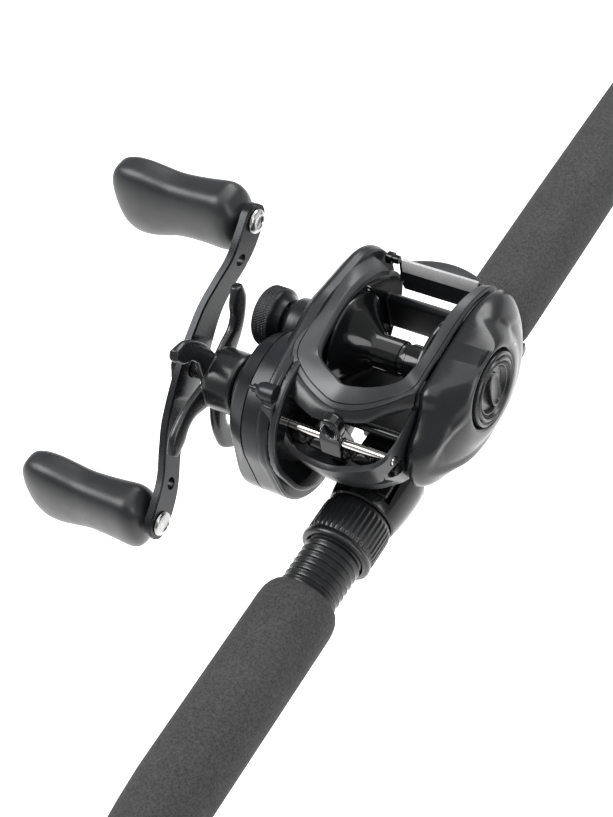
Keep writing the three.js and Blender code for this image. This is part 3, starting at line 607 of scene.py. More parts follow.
# ---------------------------------------------------------------- seam of the palm side plate, y and z
palm_edge = even(spline([
    (-16, 46.3), (-9.5, 47.6), (-3.8, 48.3), (2, 48.6), (8, 49), (14, 49), (19.5, 48), (25, 45.6),
    (28.8, 42),
    (30.4, 37), (30.6, 31), (29.4, 25.5), (26, 19), (20, 14), (13, 11), (7, 10), (0, 10.6), (-8, 12.4),
    (-16, 15),
    (-22, 17), (-26, 19), (-28.6, 22.6), (-29.4, 28), (-28.4, 32.8), (-26, 35.8), (-22, 38.6), (-18.4, 42),
], 8, closed=True), 220)
PALM_CENTRE = (2.0, 30.0)

# ---------------------------------------------------------------- reel frame
# Each station of the nose ring goes round its section: opening edge, crest, outer crease, side, rear, inside.
nose_stations = [
    ((-16, -26.5, 46.2), (-17.6, -26.2, 47.8), (-19.5, -24.6, 48.6), (-21, -21, 47), (-19, -19, 44),
    (-17, -20, 44)),
    ((-16, -28.6, 44.2), (-17.4, -29.4, 45.2), (-19, -28.4, 46.3), (-21, -25, 43.5), (-19, -22, 41),
    (-17, -24, 42)),
    ((-16, -31, 42.6), (-17.2, -32.3, 43), (-18.8, -32, 43.9), (-21, -28.6, 41), (-19, -24, 38),
    (-17, -27, 40.5)),
    ((-16, -33.1, 39.6), (-17.1, -34.5, 39.8), (-18.4, -34.3, 40.4), (-21, -31.4, 37.5), (-19, -25, 35),
    (-17, -29, 38.5)),
    ((-15.9, -34.5, 36.4), (-16.7, -35.8, 36.2), (-17.9, -35.4, 36), (-20.6, -32.2, 33), (-19, -25, 32),
    (-16.8, -30.5, 36)),
    ((-15.2, -35.2, 32.8), (-15.7, -36.5, 32.2), (-16.6, -36.1, 31.4), (-19.6, -32.4, 27), (-18, -24, 28),
    (-16.2, -31, 32)),
    ((-12.8, -35.8, 30.2), (-12.9, -37.1, 29.2), (-13.0, -36.6, 27.8), (-16, -32.6, 20), (-14, -20, 14),
    (-13, -35.2, 27)),
    ((-9, -35.9, 28.7), (-9.1, -37.2, 27.6), (-9, -36.7, 25.6), (-10, -33, 17.5), (-9.5, -18, 12.8),
    (-9, -35.2, 26)),
    ((-4.5, -36, 28.3), (-4.4, -37.3, 27.2), (-4.2, -36.8, 24.4), (-5, -33.4, 17), (-5, -18, 12.6),
    (-4.5, -35.2, 26)),
    ((-0.6, -36, 29), (-0.2, -37.3, 28), (0, -36.8, 24.4), (-0.6, -33.2, 17), (0, -18, 12.6),
    (-0.5, -35.2, 26)),
    ((4.3, -36, 31.3), (4.8, -37.2, 30.2), (5, -36.6, 25.6), (4, -32.6, 17.4), (5, -18, 12.6),
    (4.3, -35.2, 27)),
    ((9, -35.9, 33.8), (9.7, -37, 32.8), (10.2, -36.1, 27), (8.8, -31.5, 18), (9.5, -18, 12.8),
    (9, -35.2, 29)),
    ((12.8, -35.7, 36.4), (13.8, -36.6, 35.6), (14.6, -34.8, 29), (13, -29.5, 19.5), (14, -20, 14),
    (12.8, -35.2, 31)),
    ((15.6, -34.2, 38.6), (16.6, -34.6, 38), (17.5, -31.4, 31), (16.8, -27.5, 22), (16.8, -20, 18),
    (15.4, -33, 34)),
    ((16.4, -31.5, 39.4), (17, -31.6, 39.2), (17.5, -28.6, 34), (17.4, -25, 28), (16.5, -18, 28),
    (15.8, -30, 36)),
    ((16.5, -28.5, 39.6), (17, -28.4, 39.8), (17.5, -26, 37), (17.5, -22, 34), (16.5, -16, 34),
    (15.9, -27, 38)),
    ((16.6, -25.4, 40.6), (17.1, -25.2, 41), (17.5, -23.6, 39.4), (17.5, -19, 38), (16.5, -15, 38),
    (16, -24, 39.5)),
    ((16.7, -21.4, 41.6), (17.2, -20.8, 42.2), (17.5, -19.5, 41.6), (17.5, -16, 41), (16.5, -15, 41),
    (16, -20, 41)),
]
tracks = [spline([station[k] for station in nose_stations], 5) for k in range(6)]
nose_rows = []
for edge in zip(*tracks):
    inner, crest, crease, side, rear, inside = (Vector(p) for p in edge)
    nose_rows.append([tuple(p) for p in (
        inner, inner.lerp(crest, 0.5) - Vector((0, 0.25, 0)), crest, crest.lerp(crease, 0.55), crease,
        crease.lerp(side, 0.5), side, rear, inside)])
solids = [
    plate("gear_plate", belt(GEAR_OUTLINE, 0.2), -18, -16),
    plate("palm_ring", [(PALM_CENTRE[0] + (y - PALM_CENTRE[0]) * 0.95,
    PALM_CENTRE[1] + (z - PALM_CENTRE[1]) * 0.95)
                        for y, z in palm_edge], 16, 17.6),
    block("floor_bar", (-16.5, -12, 14.5), (16.5, 14, 17.8)),
    plate("rear_bar", [(20.6, 21.6), (22.4, 21.0), (24.4, 30.6), (24.2, 32.6), (22.6, 33.6), (21.4, 32.2)],
    -16.5, 16.5),
    block("stem", (-9, -11, 9.2), (9, 12, 15)),
]
housing = join("frame_shell", solids)
mould(housing, 0.36, 3)
carve(housing, [
    block("above_rear_left", (-30, 26.2, 40), (30, 60, 70)),
    bore("bore", SPOOL, 15.5, 15, 19, 96),
    bore("shaft_bore", SPOOL, 4, -19, -15, 48),
    bore("crank_bore", CRANK, 2.6, -19, -15, 48),
    bore("worm_bore", WORM, 2.9, -20, 20, 48),
    bore("rail_bore", RAIL, 1.5, -20, 20, 48),
])
dress(housing, shell_soft, "rod", ["frame"], 45)
nose = loft("nose_ring", nose_rows)
carve(nose, [
    block("line_guide_way", (-14.9, -34.8, 24.3), (14.9, -22, 44.5)),
    bore("worm_bore", WORM, 2.9, -20, 20, 48),
    bore("rail_bore", RAIL, 1.5, -20, 20, 48),
])
dress(bevel(nose, 0.3, 2, 34), shell_soft, "rod", sharp=34)
# Gloss black sheet over the inside of the gear-side wall: partly the wall's real gloss black, partly painted
# shade that darkens the wall deep inside the spool window.
painted_shade_liner = plate("gear_wall_liner", belt(GEAR_OUTLINE, 1.6), -16.1, -15.75)
carve(painted_shade_liner, [
    block("above_rear_left", (-30, 24, 38), (30, 60, 70)),
    bore("flange_way", SPOOL, 15.3, -17, -15, 96),
    bore("worm_bore", WORM, 2.9, -20, 20, 48),
    bore("rail_bore", RAIL, 1.5, -20, 20, 48),
    bore("crank_bore", CRANK, 2.6, -17, -15, 48),
])
dress(painted_shade_liner, gloss, "rod")
foot = plate("reel_foot", [
    (-27.6, 7.7), (30.4, 7.7), (30.4, 9.2), (27, 9.7), (24, 10.1), (-21, 10.1), (-24.5, 9.5), (-27.6, 9.0)],
    -7.9, 7.9)
dress(bevel(foot, 0.5, 3), shell, "rod")
dress(bore("level_wind_rear_rod", (-25.8, 37.2), 1.3, -16.6, 16.6, 40), gloss, "rod")

# grey top cover: inner edge and outer seam round the spool window, rear left to rear right
cover_stations = [
    ((-14.7, 22.5, 45.4), (-19.6, 22.5, 48.6)),
    ((-14.7, 18, 48.9), (-19.8, 18, 51)),
    ((-14.7, 11, 52.4), (-20, 12, 52.7)),
    ((-14.7, 3, 53.9), (-20, 4.6, 53)),
    ((-14.7, -5, 53.1), (-20, -4, 52.6)),
    ((-14.6, -12.4, 51.3), (-20, -12.4, 52.1)),
    ((-13.9, -15.8, 49.9), (-20, -17.6, 51.4)),
    ((-12.0, -17.9, 49.4), (-18.8, -21.3, 49.2)),
    ((-8.9, -19.8, 49.1), (-13.8, -25.0, 47)),
    ((-5.1, -21.6, 49), (-8.4, -27.6, 46.1)),
    ((-1.7, -23.2, 49), (-3.2, -29.0, 45.4)),
    ((2.5, -22.5, 49), (1.4, -28.3, 45.2)),
    ((6.4, -21.2, 49.1), (6.4, -25.9, 45.3)),
    ((10.4, -19, 49.5), (11.5, -21.9, 45.8)),
    ((13.1, -16.6, 50), (14.8, -18.1, 46)),
    ((14.3, -13, 50.8), (16.9, -15.4, 46.6)),
    ((14.6, -8.6, 50.6), (17.3, -9.6, 48)),
    ((14.7, -3, 51), (17.4, -4, 48.5)),
    ((14.6, 3.2, 51.8), (17.4, 2, 48.8)),
    ((14.6, 9, 51.9), (17.4, 8, 49.1)),
    ((14.6, 15, 50.6), (17.4, 14, 49.2)),
    ((14.7, 20, 49), (17.4, 19.4, 48.2)),
    ((14.7, 24.5, 46.8), (17.4, 25, 46)),
    ((14.7, 27.6, 43.6), (17.4, 28.6, 43.2)),
]
inner_edge = spline([s[0] for s in cover_stations], 5)
outer_edge = spline([s[1] for s in cover_stations], 5)
rows = []
for a, b in zip(inner_edge, outer_edge):
    a, b = Vector(a), Vector(b)
    outward = (b - a).normalized()
    level_out = Vector((outward.x, outward.y, 0)).normalized()
    up = Vector((0, 0, 1))
    rows.append([tuple(p) for p in (
        a - up * 3.4 - level_out * 0.7,
        a - up * 1.5 - level_out * 0.9,
        a - up * 0.25 - level_out * 0.15,
        a + level_out * 0.25,
        a.lerp(b, 0.35) + up * 0.28,
        a.lerp(b, 0.7) + up * 0.25,
        a.lerp(b, 0.745) + up * 0.22,
        a.lerp(b, 0.755) - up * 0.35,
        a.lerp(b, 0.79) - up * 0.35,
        a.lerp(b, 0.80) + up * 0.12,
        b - outward * 0.25,
        b - up * 0.35,
        b - up * 1.6 - outward * 0.3,
    )])
dress(loft("top_cover_shell", rows), satin, "rod", ["top_cover"], 28)

# black lip between the grey cover's front seam and the upper edge of the level-wind mouth
lip_stations = [
    ((-20.2, -17.6, 51.2), (-18.4, -23.6, 48.4)),
    ((-19.1, -21.5, 49.1), (-17.2, -26.2, 46.2)),
    ((-16.5, -23.7, 47.7), (-15.6, -28.6, 43.9)),
    ((-13.9, -25.3, 46.8), (-12.2, -30.4, 43.2)),
    ((-8.5, -27.9, 45.9), (-7.4, -32, 42.6)),
    ((-3.2, -29.3, 45.2), (-3.4, -31.8, 42.3)),
    ((1.5, -28.6, 45), (1.4, -30.2, 42.1)),
    ((6.6, -26.1, 45.1), (6.9, -28, 42)),
    ((11.7, -22.1, 45.6), (11.6, -23.6, 42)),
    ((15, -18.3, 45.8), (14.8, -20.6, 42.2)),
    ((16.6, -15.9, 46.2), (16.8, -18.6, 42.8)),
]
upper = spline([s[0] for s in lip_stations], 6)
lower = spline([s[1] for s in lip_stations], 6)
rows = []
for a, b in zip(upper, lower):
    a, b = Vector(a), Vector(b)
    down = (b - a).normalized()
    inward = Vector((-a.x * 0.03, 1, -0.5)).normalized()
    rows.append([tuple(p) for p in (
        a + inward * 2.2, a + inward * 0.4, a + down * 0.12, a.lerp(b, 0.4) - inward * 0.35,
        a.lerp(b, 0.8) - inward * 0.3, b - inward * 0.1, b + inward * 0.9, b + inward * 2.4 - down * 0.3,
        a.lerp(b, 0.5) + inward * 2.6,
    )])
dress(loft("nose_lip", rows), shell, "rod", sharp=50)

# ---------------------------------------------------------------- gear side cover


def gear_rooms():
    """The hollows inside the gear case, from the gears out to the spool bearing."""
    return [
        bore("gear_room", CRANK, 19.8, -27, -15, 128),
        bore("drag_room", CRANK, 15.5, -31, -20, 96),
        bore("bearing_room", CRANK, 7.4, -37, -30, 96),
        bore("pinion_room", SPOOL, 9, -27, -15, 96),
        bore("spool_bearing_room", SPOOL, 4.1, -40, -24, 64),
    ]


flange_outline = COVER_OUTLINE + [LOWER_CASE]
cover = join("cover_solids", [
    loft("flange", [[(x, y, z) for y, z in belt(flange_outline, inset)] for x, inset in (
        (-22.6, 1.6), (-22.2, 0.5), (-21.4, -0.1), (-20.2, -0.1), (-18.4, 0.5), (-18.3, 0.9))]),
    loft("body", [[(x, y, z) for y, z in belt(COVER_OUTLINE, inset)] for x, inset in (
        (-27.0, 10.4), (-26.6, 8.0), (-25.6, 5.2), (-24.4, 3.2), (-23.2, 2.2), (-20.5, 1.8))]),
    turned("control_boss", "x", SPOOL, [(0, -33.2), (7.4, -33.2), (8.0, -32.6), (8.4, -30), (9.6, -25),
    (0, -25)], 96),
])
mould(cover, 0.30, 2)
carve(cover, gear_rooms())
dress(cover, drum_paint, "rod", ["gear_side_cover"], 45)
drum = loft("gear_drum", [
    [(x, y, z) for y, z in belt([(CRANK_Y, CRANK_Z, radius), LOWER_CASE], inset, 160)] for x, radius,
    inset in (
        (-33.2, 18.3, 2.4), (-33.2, 18.3, 1.4), (-33.0, 18.3, 0.6), (-32.5, 18.3, 0.12), (-31.8, 18.5, 0),
        (-27.3, 20.9, 0), (-27.15, 20.9, 0.35), (-26.9, 20.9, 0.35), (-26.75, 20.9, 0), (-24.0, 21.2, 0),
        (-19.0, 21.3, 0.1))])
carve(drum, gear_rooms())
dress(drum, drum_paint, "rod", sharp=25)
dress(turned("cover_post", "x", (-31.4, 45.4), [
    (0, -24.6), (1.4, -24.6), (2.2, -23.8), (2.7, -22.4), (2.8, -18.5), (0, -18.5)], 48), drum_paint, "rod")
dress(turned("hinge_barrel", "x", (-37.2, 37.2), [
    (0, -23.2), (1.2, -23.2), (1.5, -22.9), (1.5, -21.4), (1.35, -21.3), (1.35, -18.8), (1.6, -18.7),
    (1.6, -16.4),
    (0, -16.4)], 48), drum_paint, "rod")
bracket = loft("bracket", [[(x, y, z) for y, z in ring] for x, ring in (
    (-21.4, [(-35.4, 44.4), (-32.6, 45.0), (-34.4, 36.8), (-37.8, 37.0)]),
    (-17.5, [(-35.8, 44.8), (-31.6, 45.0), (-33.0, 36.2), (-38.2, 36.4)]))])
dress(bevel(bracket, 0.4, 2), drum_paint, "rod")
dress(turned("drum_boss_rings", "x", CRANK, [
    (4.6, -33.4), (13.0, -33.4), (12.9, -34.6), (12.4, -35.0), (11.6, -35.2), (11.4, -35.6), (11.2, -36.6),
    (10.6, -37.0), (9.4, -37.1), (9.2, -37.6), (9.0, -38.4), (8.6, -38.6), (4.6, -38.6), (4.6, -33.4)], 96),
    shell, "rod")
dress(turned("control_neck", "x", SPOOL, [
    (4.2, -32.6), (7.4, -32.6), (7.2, -33.6), (6.4, -34.4), (5.3, -34.8), (5.2, -39), (4.2, -39),
    (4.2, -32.6)], 64),
    gloss, "rod")
dress(turned("cover_screw", "x", (-31.4, 45.4), [
    (0, -27.4), (0.6, -27.4), (0.7, -27.2), (0.7, -26.0), (1.2, -25.9), (1.3, -25.7), (1.3, -24.4),
    (0, -24.4)], 32),
    anodised, "rod")
dress(turned("cover_pin", "z", (-24.8, -36.2), [
    (0, 27.6), (0.9, 27.6), (1.1, 27.9), (1.1, 33.4), (0.9, 33.8), (0, 33.8)], 32), anodised, "rod")
dress(turned("window_wall_ring", "x", SPOOL, [
    (15.4, -15.9), (15.4, -15.0), (15.7, -14.7), (16.3, -14.7), (16.6, -15.0), (16.6, -15.9),
    (15.4, -15.9)], 128),
    gloss, "rod")

# ---------------------------------------------------------------- palm side plate
RIM_SCALE = 1.012  # the dome's widest ring against the seam
RIM_X = 19.5
DOME_HEIGHT = 10.6
DOME_RINGS = 72
CALM_SPAN = 22  # points on each side that are averaged into the calmer outline of the dome
CALM_WITHIN = 0.16  # part of the dome over which the seam's corners fade out
DIAL_WELL = 12.2
DIAL_FLOOR_RADIUS = 11.2
DIAL_FLOOR_X = 28.7
WELL_DEPTH = 1.9
COLLAR_X = 30.5
COLLAR_WIDTH = 6


def crest(y, z, points, width, height):
    """Height of a sculpted ridge along a line of points, fading at its ends."""
    best = 0.0
    count = len(points) - 1
    for i in range(count):
        (y0, z0), (y1, z1) = points[i], points[i + 1]
        dy, dz = y1 - y0, z1 - z0
        t = max(0.0, min(1.0, ((y - y0) * dy + (z - z0) * dz) / (dy * dy + dz * dz)))
        away = math.hypot(y - y0 - dy * t, z - z0 - dz * t)
        fade = math.sin(math.pi * min(1.0, max(0.0, (i + t) / count))) ** 0.6
        if away < width:
            best = max(best, height * fade * (1 - (away / width) ** 1.5) ** 1.5)
    return best


# Ridges as a line of y and z points, a half width and a height.
ridges = [
    (spline([(15, 46.5), (6.9, 47.6), (1.6, 47.4), (-9.6, 45.2), (-17.3, 41), (-23.1, 36.6), (-28, 31)], 6),
    2.2, 1.5),
    (spline([(17, 42.5), (7.5, 44.9), (-1, 44.6), (-9.9, 42), (-17.9, 37.6), (-23.8, 34), (-28, 29)], 6),
    2.6, 1.8),
    (spline([(25, 38), (18, 43), (8, 46.6), (-4, 46.4), (-13, 42.8), (-19, 38.8), (-25, 33)], 6), 1.5, 0.7),
    (spline([(2, 15.6), (-7, 17), (-16, 20.6), (-23, 24), (-28, 28)], 6), 2.6, 1.0),
]


def dome_x(y, z, q):
    """Outer surface of the palm plate, with its ridges, the collar round the dial and the dial's well."""
    rise = (1 - min(1, q / RIM_SCALE) ** 3.0) ** (1 / 2.0)
    x = RIM_X + DOME_HEIGHT * rise
    x += sum(crest(y, z, *ridge) for ridge in ridges) * min(1, rise * 1.4)
    away = math.hypot(y - SPOOL[0], z - SPOOL[1])
    reach = min(1, max(0, (away - DIAL_WELL) / COLLAR_WIDTH))
    x += (COLLAR_X - x) * (1 - reach) ** 2 * (1 + 2 * reach)
    if away < DIAL_FLOOR_RADIUS:
        return min(x, DIAL_FLOOR_X)
    if away < DIAL_WELL:
        wall = (away - DIAL_FLOOR_RADIUS) / (DIAL_WELL - DIAL_FLOOR_RADIUS)
        return min(x, DIAL_FLOOR_X + WELL_DEPTH * wall ** 0.5)
    return x


count = len(palm_edge)
calm_edge = [
    tuple(sum(palm_edge[(i + m) % count][axis] for m in range(-CALM_SPAN,
    CALM_SPAN + 1)) / (2 * CALM_SPAN + 1)
          for axis in (0, 1))
    for i in range(count)]
palm_rows = []
for s, x in ((0.965, 17.9), (0.985, 18.3), (1.0, 18.9), (RIM_SCALE, RIM_X)):
    palm_rows.append([(x, PALM_CENTRE[0] + (y - PALM_CENTRE[0]) * s,
        PALM_CENTRE[1] + (z - PALM_CENTRE[1]) * s)
                      for y, z in palm_edge])
for k in range(1, DOME_RINGS + 1):
    q = RIM_SCALE * (1 - k / DOME_RINGS) ** 0.8
    blend = min(1, (RIM_SCALE - q) / CALM_WITHIN)
    row = []
    for (y, z), (calm_y, calm_z) in zip(palm_edge, calm_edge):
        py = PALM_CENTRE[0] + (y + (calm_y - y) * blend - PALM_CENTRE[0]) * q
        pz = PALM_CENTRE[1] + (z + (calm_z - z) * blend - PALM_CENTRE[1]) * q
        row.append((dome_x(py, pz, q), py, pz))
    palm_rows.append(row)
palm = loft("palm_dome", palm_rows, cap=False)
modifier = palm.modifiers.new("wall", "SOLIDIFY")
modifier.thickness = 1.4 * MM
modifier.offset = -1
settle(palm)
dress(palm, shell, "palm_plate", ["palm_side_plate"], 60)
dress(turned("palm_bearing_boss", "x", SPOOL, [
    (4.2, 20), (6.2, 20), (6.2, 28.2), (0, 28.2), (0, 26), (4.2, 26), (4.2, 20)], 48), shell, "palm_plate")
DOT = (14.6, 38.9)
dot_x = min((math.dist(point[1:], DOT), point[0]) for row in palm_rows for point in row)[1]
dress(turned("palm_index_dot", "x", DOT, [
    (0, dot_x - 0.6), (0.4, dot_x - 0.6), (0.4, dot_x + 0.02), (0.3, dot_x + 0.08), (0, dot_x + 0.08)], 24),
    mark, "palm_plate")

# dial: rim, stepped rings and a raised finger grip
dress(turned("brake_dial_rim", "x", SPOOL, [
    (0, 28.8), (10.6, 28.8), (10.9, 29.2), (10.95, 30.2), (10.8, 30.9), (10.4, 31.2), (10.0, 31.1),
    (9.8, 30.7),
    (9.6, 30.6), (9.4, 30.8), (9.2, 31.3), (8.8, 31.5), (8.4, 31.3), (8.1, 30.5), (7.8, 30.2), (7.5, 30.4),
    (7.3, 30.8), (7.0, 30.8), (6.7, 30.2), (6.2, 29.7), (0, 29.6)], 128), shell, "brake_dial",
    ["brake_dial"],
    40)
GRIP_NARROW = 0.42  # width of the dial's grip against its length
grip = loft("brake_dial_grip", [
    [(x, wide * squared(math.cos(TAU * k / 48), 0.8) * GRIP_NARROW,
      SPOOL[1] + wide * squared(math.sin(TAU * k / 48), 0.9))
     for k in range(48)]
    for x, wide in ((29.5, 6.6), (30.5, 6.5), (31.1, 6.1), (31.2, 5.5), (30.7, 4.9), (30.5, 4.2))])
dress(grip, shell, "brake_dial")
refine("release_slide", anodised, "release_slide", 0.4)

# ---------------------------------------------------------------- thumb bar
BAR_X = -12.2
BAR_LENGTH = 26.2
BAR_STEPS = 40
BAR_REAR = 31
BAR_CURVE = 0.0215
BAR_MIDDLE = 2.5
BAR_ROUNDING = 0.5
bar_rows = []
for i in range(BAR_STEPS + 1):
    x = BAR_X + BAR_LENGTH * i / BAR_STEPS
    rear = BAR_REAR - BAR_CURVE * (x - BAR_MIDDLE) ** 2
    end = BAR_ROUNDING if i in (0, BAR_STEPS) else 0
    bar_rows.append([
        (x, 24.95 + end, 34.8 + end), (x, 24.95 + end, 42.5), (x, 25.5 + end, 45.5 - end),
        (x, 25.9, 45.85 - end),
        (x, rear - 1.6, 45.3 - end), (x, rear - 0.4, 44.6 - end), (x, rear - end, 43.6),
        (x, rear - 0.7 - end, 41),
        (x, rear - 2.2, 38.2), (x, 26.6, 35 + end)])
dress(bevel(loft("thumb_bar_shell", bar_rows), 0.2, 2, 32), shell_soft, "thumb_bar", ["thumb_bar"],
    32)
dress(bevel(plate("thumb_bar_face", [(24.6, 42.4), (24.8, 45.2), (25.5, 46.3), (26.2, 46.3), (26, 42.4)],
    -10.9, 13.4), 0.1, 2),
      bar_face, "thumb_bar")
dress(turned("bar_pivot", "x", (27.4, 43.6), [
    (0, -17.2), (1.5, -17.2), (1.8, -16.9), (1.8, -15.2), (1.3, -15.0), (1.3, -13.4), (1.0, -13.1),
    (0, -13.1)], 40),
    gloss, "rod")

# ---------------------------------------------------------------- spool, gears and shafts
dress(turned("spool_turned", "x", SPOOL, [
    (1.8, -14.2), (14.3, -14.2), (14.8, -14.0), (15.0, -13.6), (14.9, -13.1), (14.4, -12.8), (12.6, -12.0),
    (10.6, -10.6), (8.6, -8.8), (7.0, -7.1), (5.9, -5.8), (5.35, -5.1), (5.2, -4.6), (5.2, 2.0), (5.1, 2.3),
    (4.75, 2.5), (4.7, 2.8), (4.7, 4.2), (4.75, 4.5), (5.1, 4.7), (5.2, 5.0), (5.2, 8.6), (5.5, 9.2),
    (6.4, 10.2),
    (8.2, 11.2), (10.8, 12.0), (14.4, 12.8), (14.9, 13.1), (15.0, 13.6), (14.8, 14.0), (14.3, 14.2),
    (1.8, 14.2),
    (1.8, -14.2)], 160), gloss, "spool", ["spool"], 32)
for node, material, body, slot, width in (
        ("spool_shaft", steel, "spool", "steel", 0.2),
        ("spool_bearing_gear", steel, "rod", "steel", 0.15),
        ("spool_bearing_palm", steel, "palm_plate", "steel", 0.15),
        ("brake_ring", brass, "palm_plate", "brass", 0.15),
        ("pinion_gear", brass, "spool", "brass", 0.05),
        ("drive_gear", brass, "crank", "brass", 0.05),
        ("wind_drive_gear", steel, "crank", "steel", 0.05),
        ("worm_gear", rubber, "worm", "carbon", 0.05),
        ("drive_shaft", steel, "crank", "steel", 0.2),
        ("drag_washer", carbon, "crank", "carbon", 0.1),
        ("pressure_plate", steel, "crank", "steel", 0.1),
        ("clutch_sleeve", steel, "crank", "steel", 0.1),
        ("one_way_bearing", steel, "rod", "steel", 0.15),
        ("handle_nut", anodised, "crank", "steel", 0.3)):
    refine(node, material, body, width)


GROOVE_PITCH = 7.0
GROOVE_DEPTH = 0.8
GROOVE_HALF_WIDTH = 0.95


def grooved(r, s, angle):
    """Radius of the worm with its right-hand and left-hand grooves, which cross."""
    if r < 2.5 or abs(s) > 14.0:
        return r
    depth = 0.0
    for hand in (1, -1):
        phase = (s / GROOVE_PITCH - hand * angle / TAU) % 1.0
        gap = min(phase, 1 - phase) * GROOVE_PITCH
        depth = max(depth, GROOVE_DEPTH * max(0.0, 1 - (gap / GROOVE_HALF_WIDTH) ** 2))
    return r - depth


worm_profile = [(0, -21.4), (1.5, -21.4), (1.6, -21.2), (1.6, -15.0), (2.6, -14.9)]
worm_profile += [(2.6, -14.7 + 0.35 * i) for i in range(85)] + [(2.6, 14.9), (1.6, 15.0), (1.6, 17.3),
    (0, 17.4)]
dress(turned("worm_screw", "x", WORM, worm_profile, 56, grooved), dark_steel, "worm", ["worm_shaft"],
    60)
dress(turned("guard_rod_bar", "x", RAIL, [
    (0, -17.8), (1.0, -17.8), (1.2, -17.6), (1.2, 17.2), (1.0, 17.4), (0, 17.4)], 48), chrome, "rod",
    ["guard_rod"])

# line guide: body round the worm, neck, and an oblong ring
guide_body = join("guide_solids", [
    plate("carriage", belt([(WORM[0] + 0.4, WORM[1], 3.5), (-31.2, 35.2, 2.6), (-31.2, 38.4, 1.6)]),
    GUIDE_X - 3.4,
          GUIDE_X + 3.4),
    loft("eye", [[(EYE[0] + 3.1 * squared(math.cos(TAU * k / 40), 0.75) * f, y,
                   EYE[1] + 4.1 * squared(math.sin(TAU * k / 40), 0.75) * f)
                  for k in range(40)] for y, f in ((-33.7, 0.88), (-33.1, 1), (-30.6, 1), (-30.0, 0.88))]),
])
mould(guide_body, 0.26, 2)
carve(guide_body, [
    bore("worm_way", WORM, 2.85, -20, 20, 48),
    bore("rail_way", RAIL, 1.5, -20, 20, 32),
    loft("eye_way", [[(EYE[0] + 2.1 * math.cos(TAU * k / 40), y, EYE[1] + 3.2 * math.sin(TAU * k / 40))
                      for k in range(40)] for y in (-40, -25)]),
])
dress(guide_body, gloss, "line_guide", ["line_guide"], 45)
insert_rows = []
for k in range(48):
    angle = TAU * k / 48
    insert_rows.append([
        (EYE[0] + wide * math.cos(angle), y, EYE[1] + (wide + 1.1) * math.sin(angle)) for wide, y in (
            (1.5, -32.4), (1.55, -33.4), (1.8, -33.95), (2.15, -34.05), (2.2, -33.5), (2.2, -30.4),
            (2.15, -29.7),
            (1.8, -29.6), (1.55, -30.4))])
insert_rows.append(insert_rows[0])
dress(loft("guide_insert_ring", insert_rows, cap=False), ceramic, "line_guide", ["guide_insert"])
dress(turned("pawl_cap_screw", "z", (GUIDE_X, WORM[0]), [
    (0, 24.7), (1.9, 24.7), (2.2, 25.0), (2.2, 26.8), (2.0, 27.1), (1.3, 27.1), (1.3, 27.9), (0, 27.9)],
    40),
    anodised, "line_guide", ["pawl_cap"])


# ---------------------------------------------------------------- cast control knob
KNURL_COUNT = 36
KNURL_SLANT = 2.6
KNURL_DEPTH = 0.26


def knurl(r, s, angle):
    """Radius of the cast control cap with its diamond knurl."""
    if r < 8.7 or not -42.6 < s < -38.1:
        return r
    a = abs(math.sin(angle * KNURL_COUNT + s * KNURL_SLANT))
    b = abs(math.sin(angle * KNURL_COUNT - s * KNURL_SLANT))
    return r - KNURL_DEPTH + KNURL_DEPTH * min(a, b) * 1.6


knob_profile = [(0, -43.0), (5.2, -43.0), (5.8, -43.5), (7.6, -43.6), (8.5, -43.3), (8.9, -42.8)]
knob_profile += [(9.0, -42.6 + 0.3 * i) for i in range(16)]
knob_profile += [(8.9, -37.9), (8.3, -37.4), (7.4, -36.8), (6.6, -35.4), (5.5, -35.4), (5.5, -39.3),
    (0, -39.3)]
dress(turned("cast_control_cap", "x", SPOOL, knob_profile, 360, knurl), anodised, "cast_control",
      ["cast_control_knob"], 60)

# ---------------------------------------------------------------- star drag
hub = turned("hub", "x", CRANK, [
    (0, -50.4), (5.6, -50.4), (7.4, -49.8), (8.6, -49.0), (9.3, -47.8), (9.4, -46.6), (9.4, -40.4),
    (9.2, -39.6),
    (8.6, -39.2), (0, -39.2)], 96)
parts = [hub]
LOBES = 5
LOBE_SIDES = 20
LOBE_TURN = 0.776  # first lobe from the y axis, radians
LOBE_X = -49.4
LOBE_HALF_THICK = 1.5
lobe_path = spline([(4, 0.0), (9, -1.4), (14, -2.8), (18.8, -2.4), (23.2, -0.4), (27.2, 1.9)], 5)
lobe_half = spline([(half, 0) for half in (4.8, 4.0, 3.1, 3.0, 3.5, 1.6)], 5)


def star_lobe(turn):
    """One curved lobe: sections across a path that runs out from the crank axis, turned to its place."""
    sections = []
    for i, (u, v) in enumerate(lobe_path):
        ahead = lobe_path[min(i + 1, len(lobe_path) - 1)]
        behind = lobe_path[max(i - 1, 0)]
        heading = math.atan2(ahead[1] - behind[1], ahead[0] - behind[0])
        ring = []
        for m in range(LOBE_SIDES):
            q = TAU * m / LOBE_SIDES
            side = squared(math.cos(q), 0.7) * lobe_half[i][0]
            thick = squared(math.sin(q), 0.7) * LOBE_HALF_THICK
            out = u - side * math.sin(heading)
            across = v + side * math.cos(heading)
            y = CRANK[0] + out * math.cos(turn) - across * math.sin(turn)
            z = CRANK[1] + out * math.sin(turn) + across * math.cos(turn)
            ring.append((LOBE_X + thick, y, z))
        sections.append(ring)
    return loft("lobe", sections)


parts += [star_lobe(TAU * k / LOBES + LOBE_TURN) for k in range(LOBES)]
star = join("star_drag_wheel", parts)
mould(star, 0.35, 3)
carve(star, [turned("shaft_way", "x", CRANK,
    [(0, -60), (2.9, -60), (2.9, -46), (4.9, -46), (4.9, -38), (0, -38)], 48)])
dress(star, shell, "star_drag", ["star_drag"], 50)

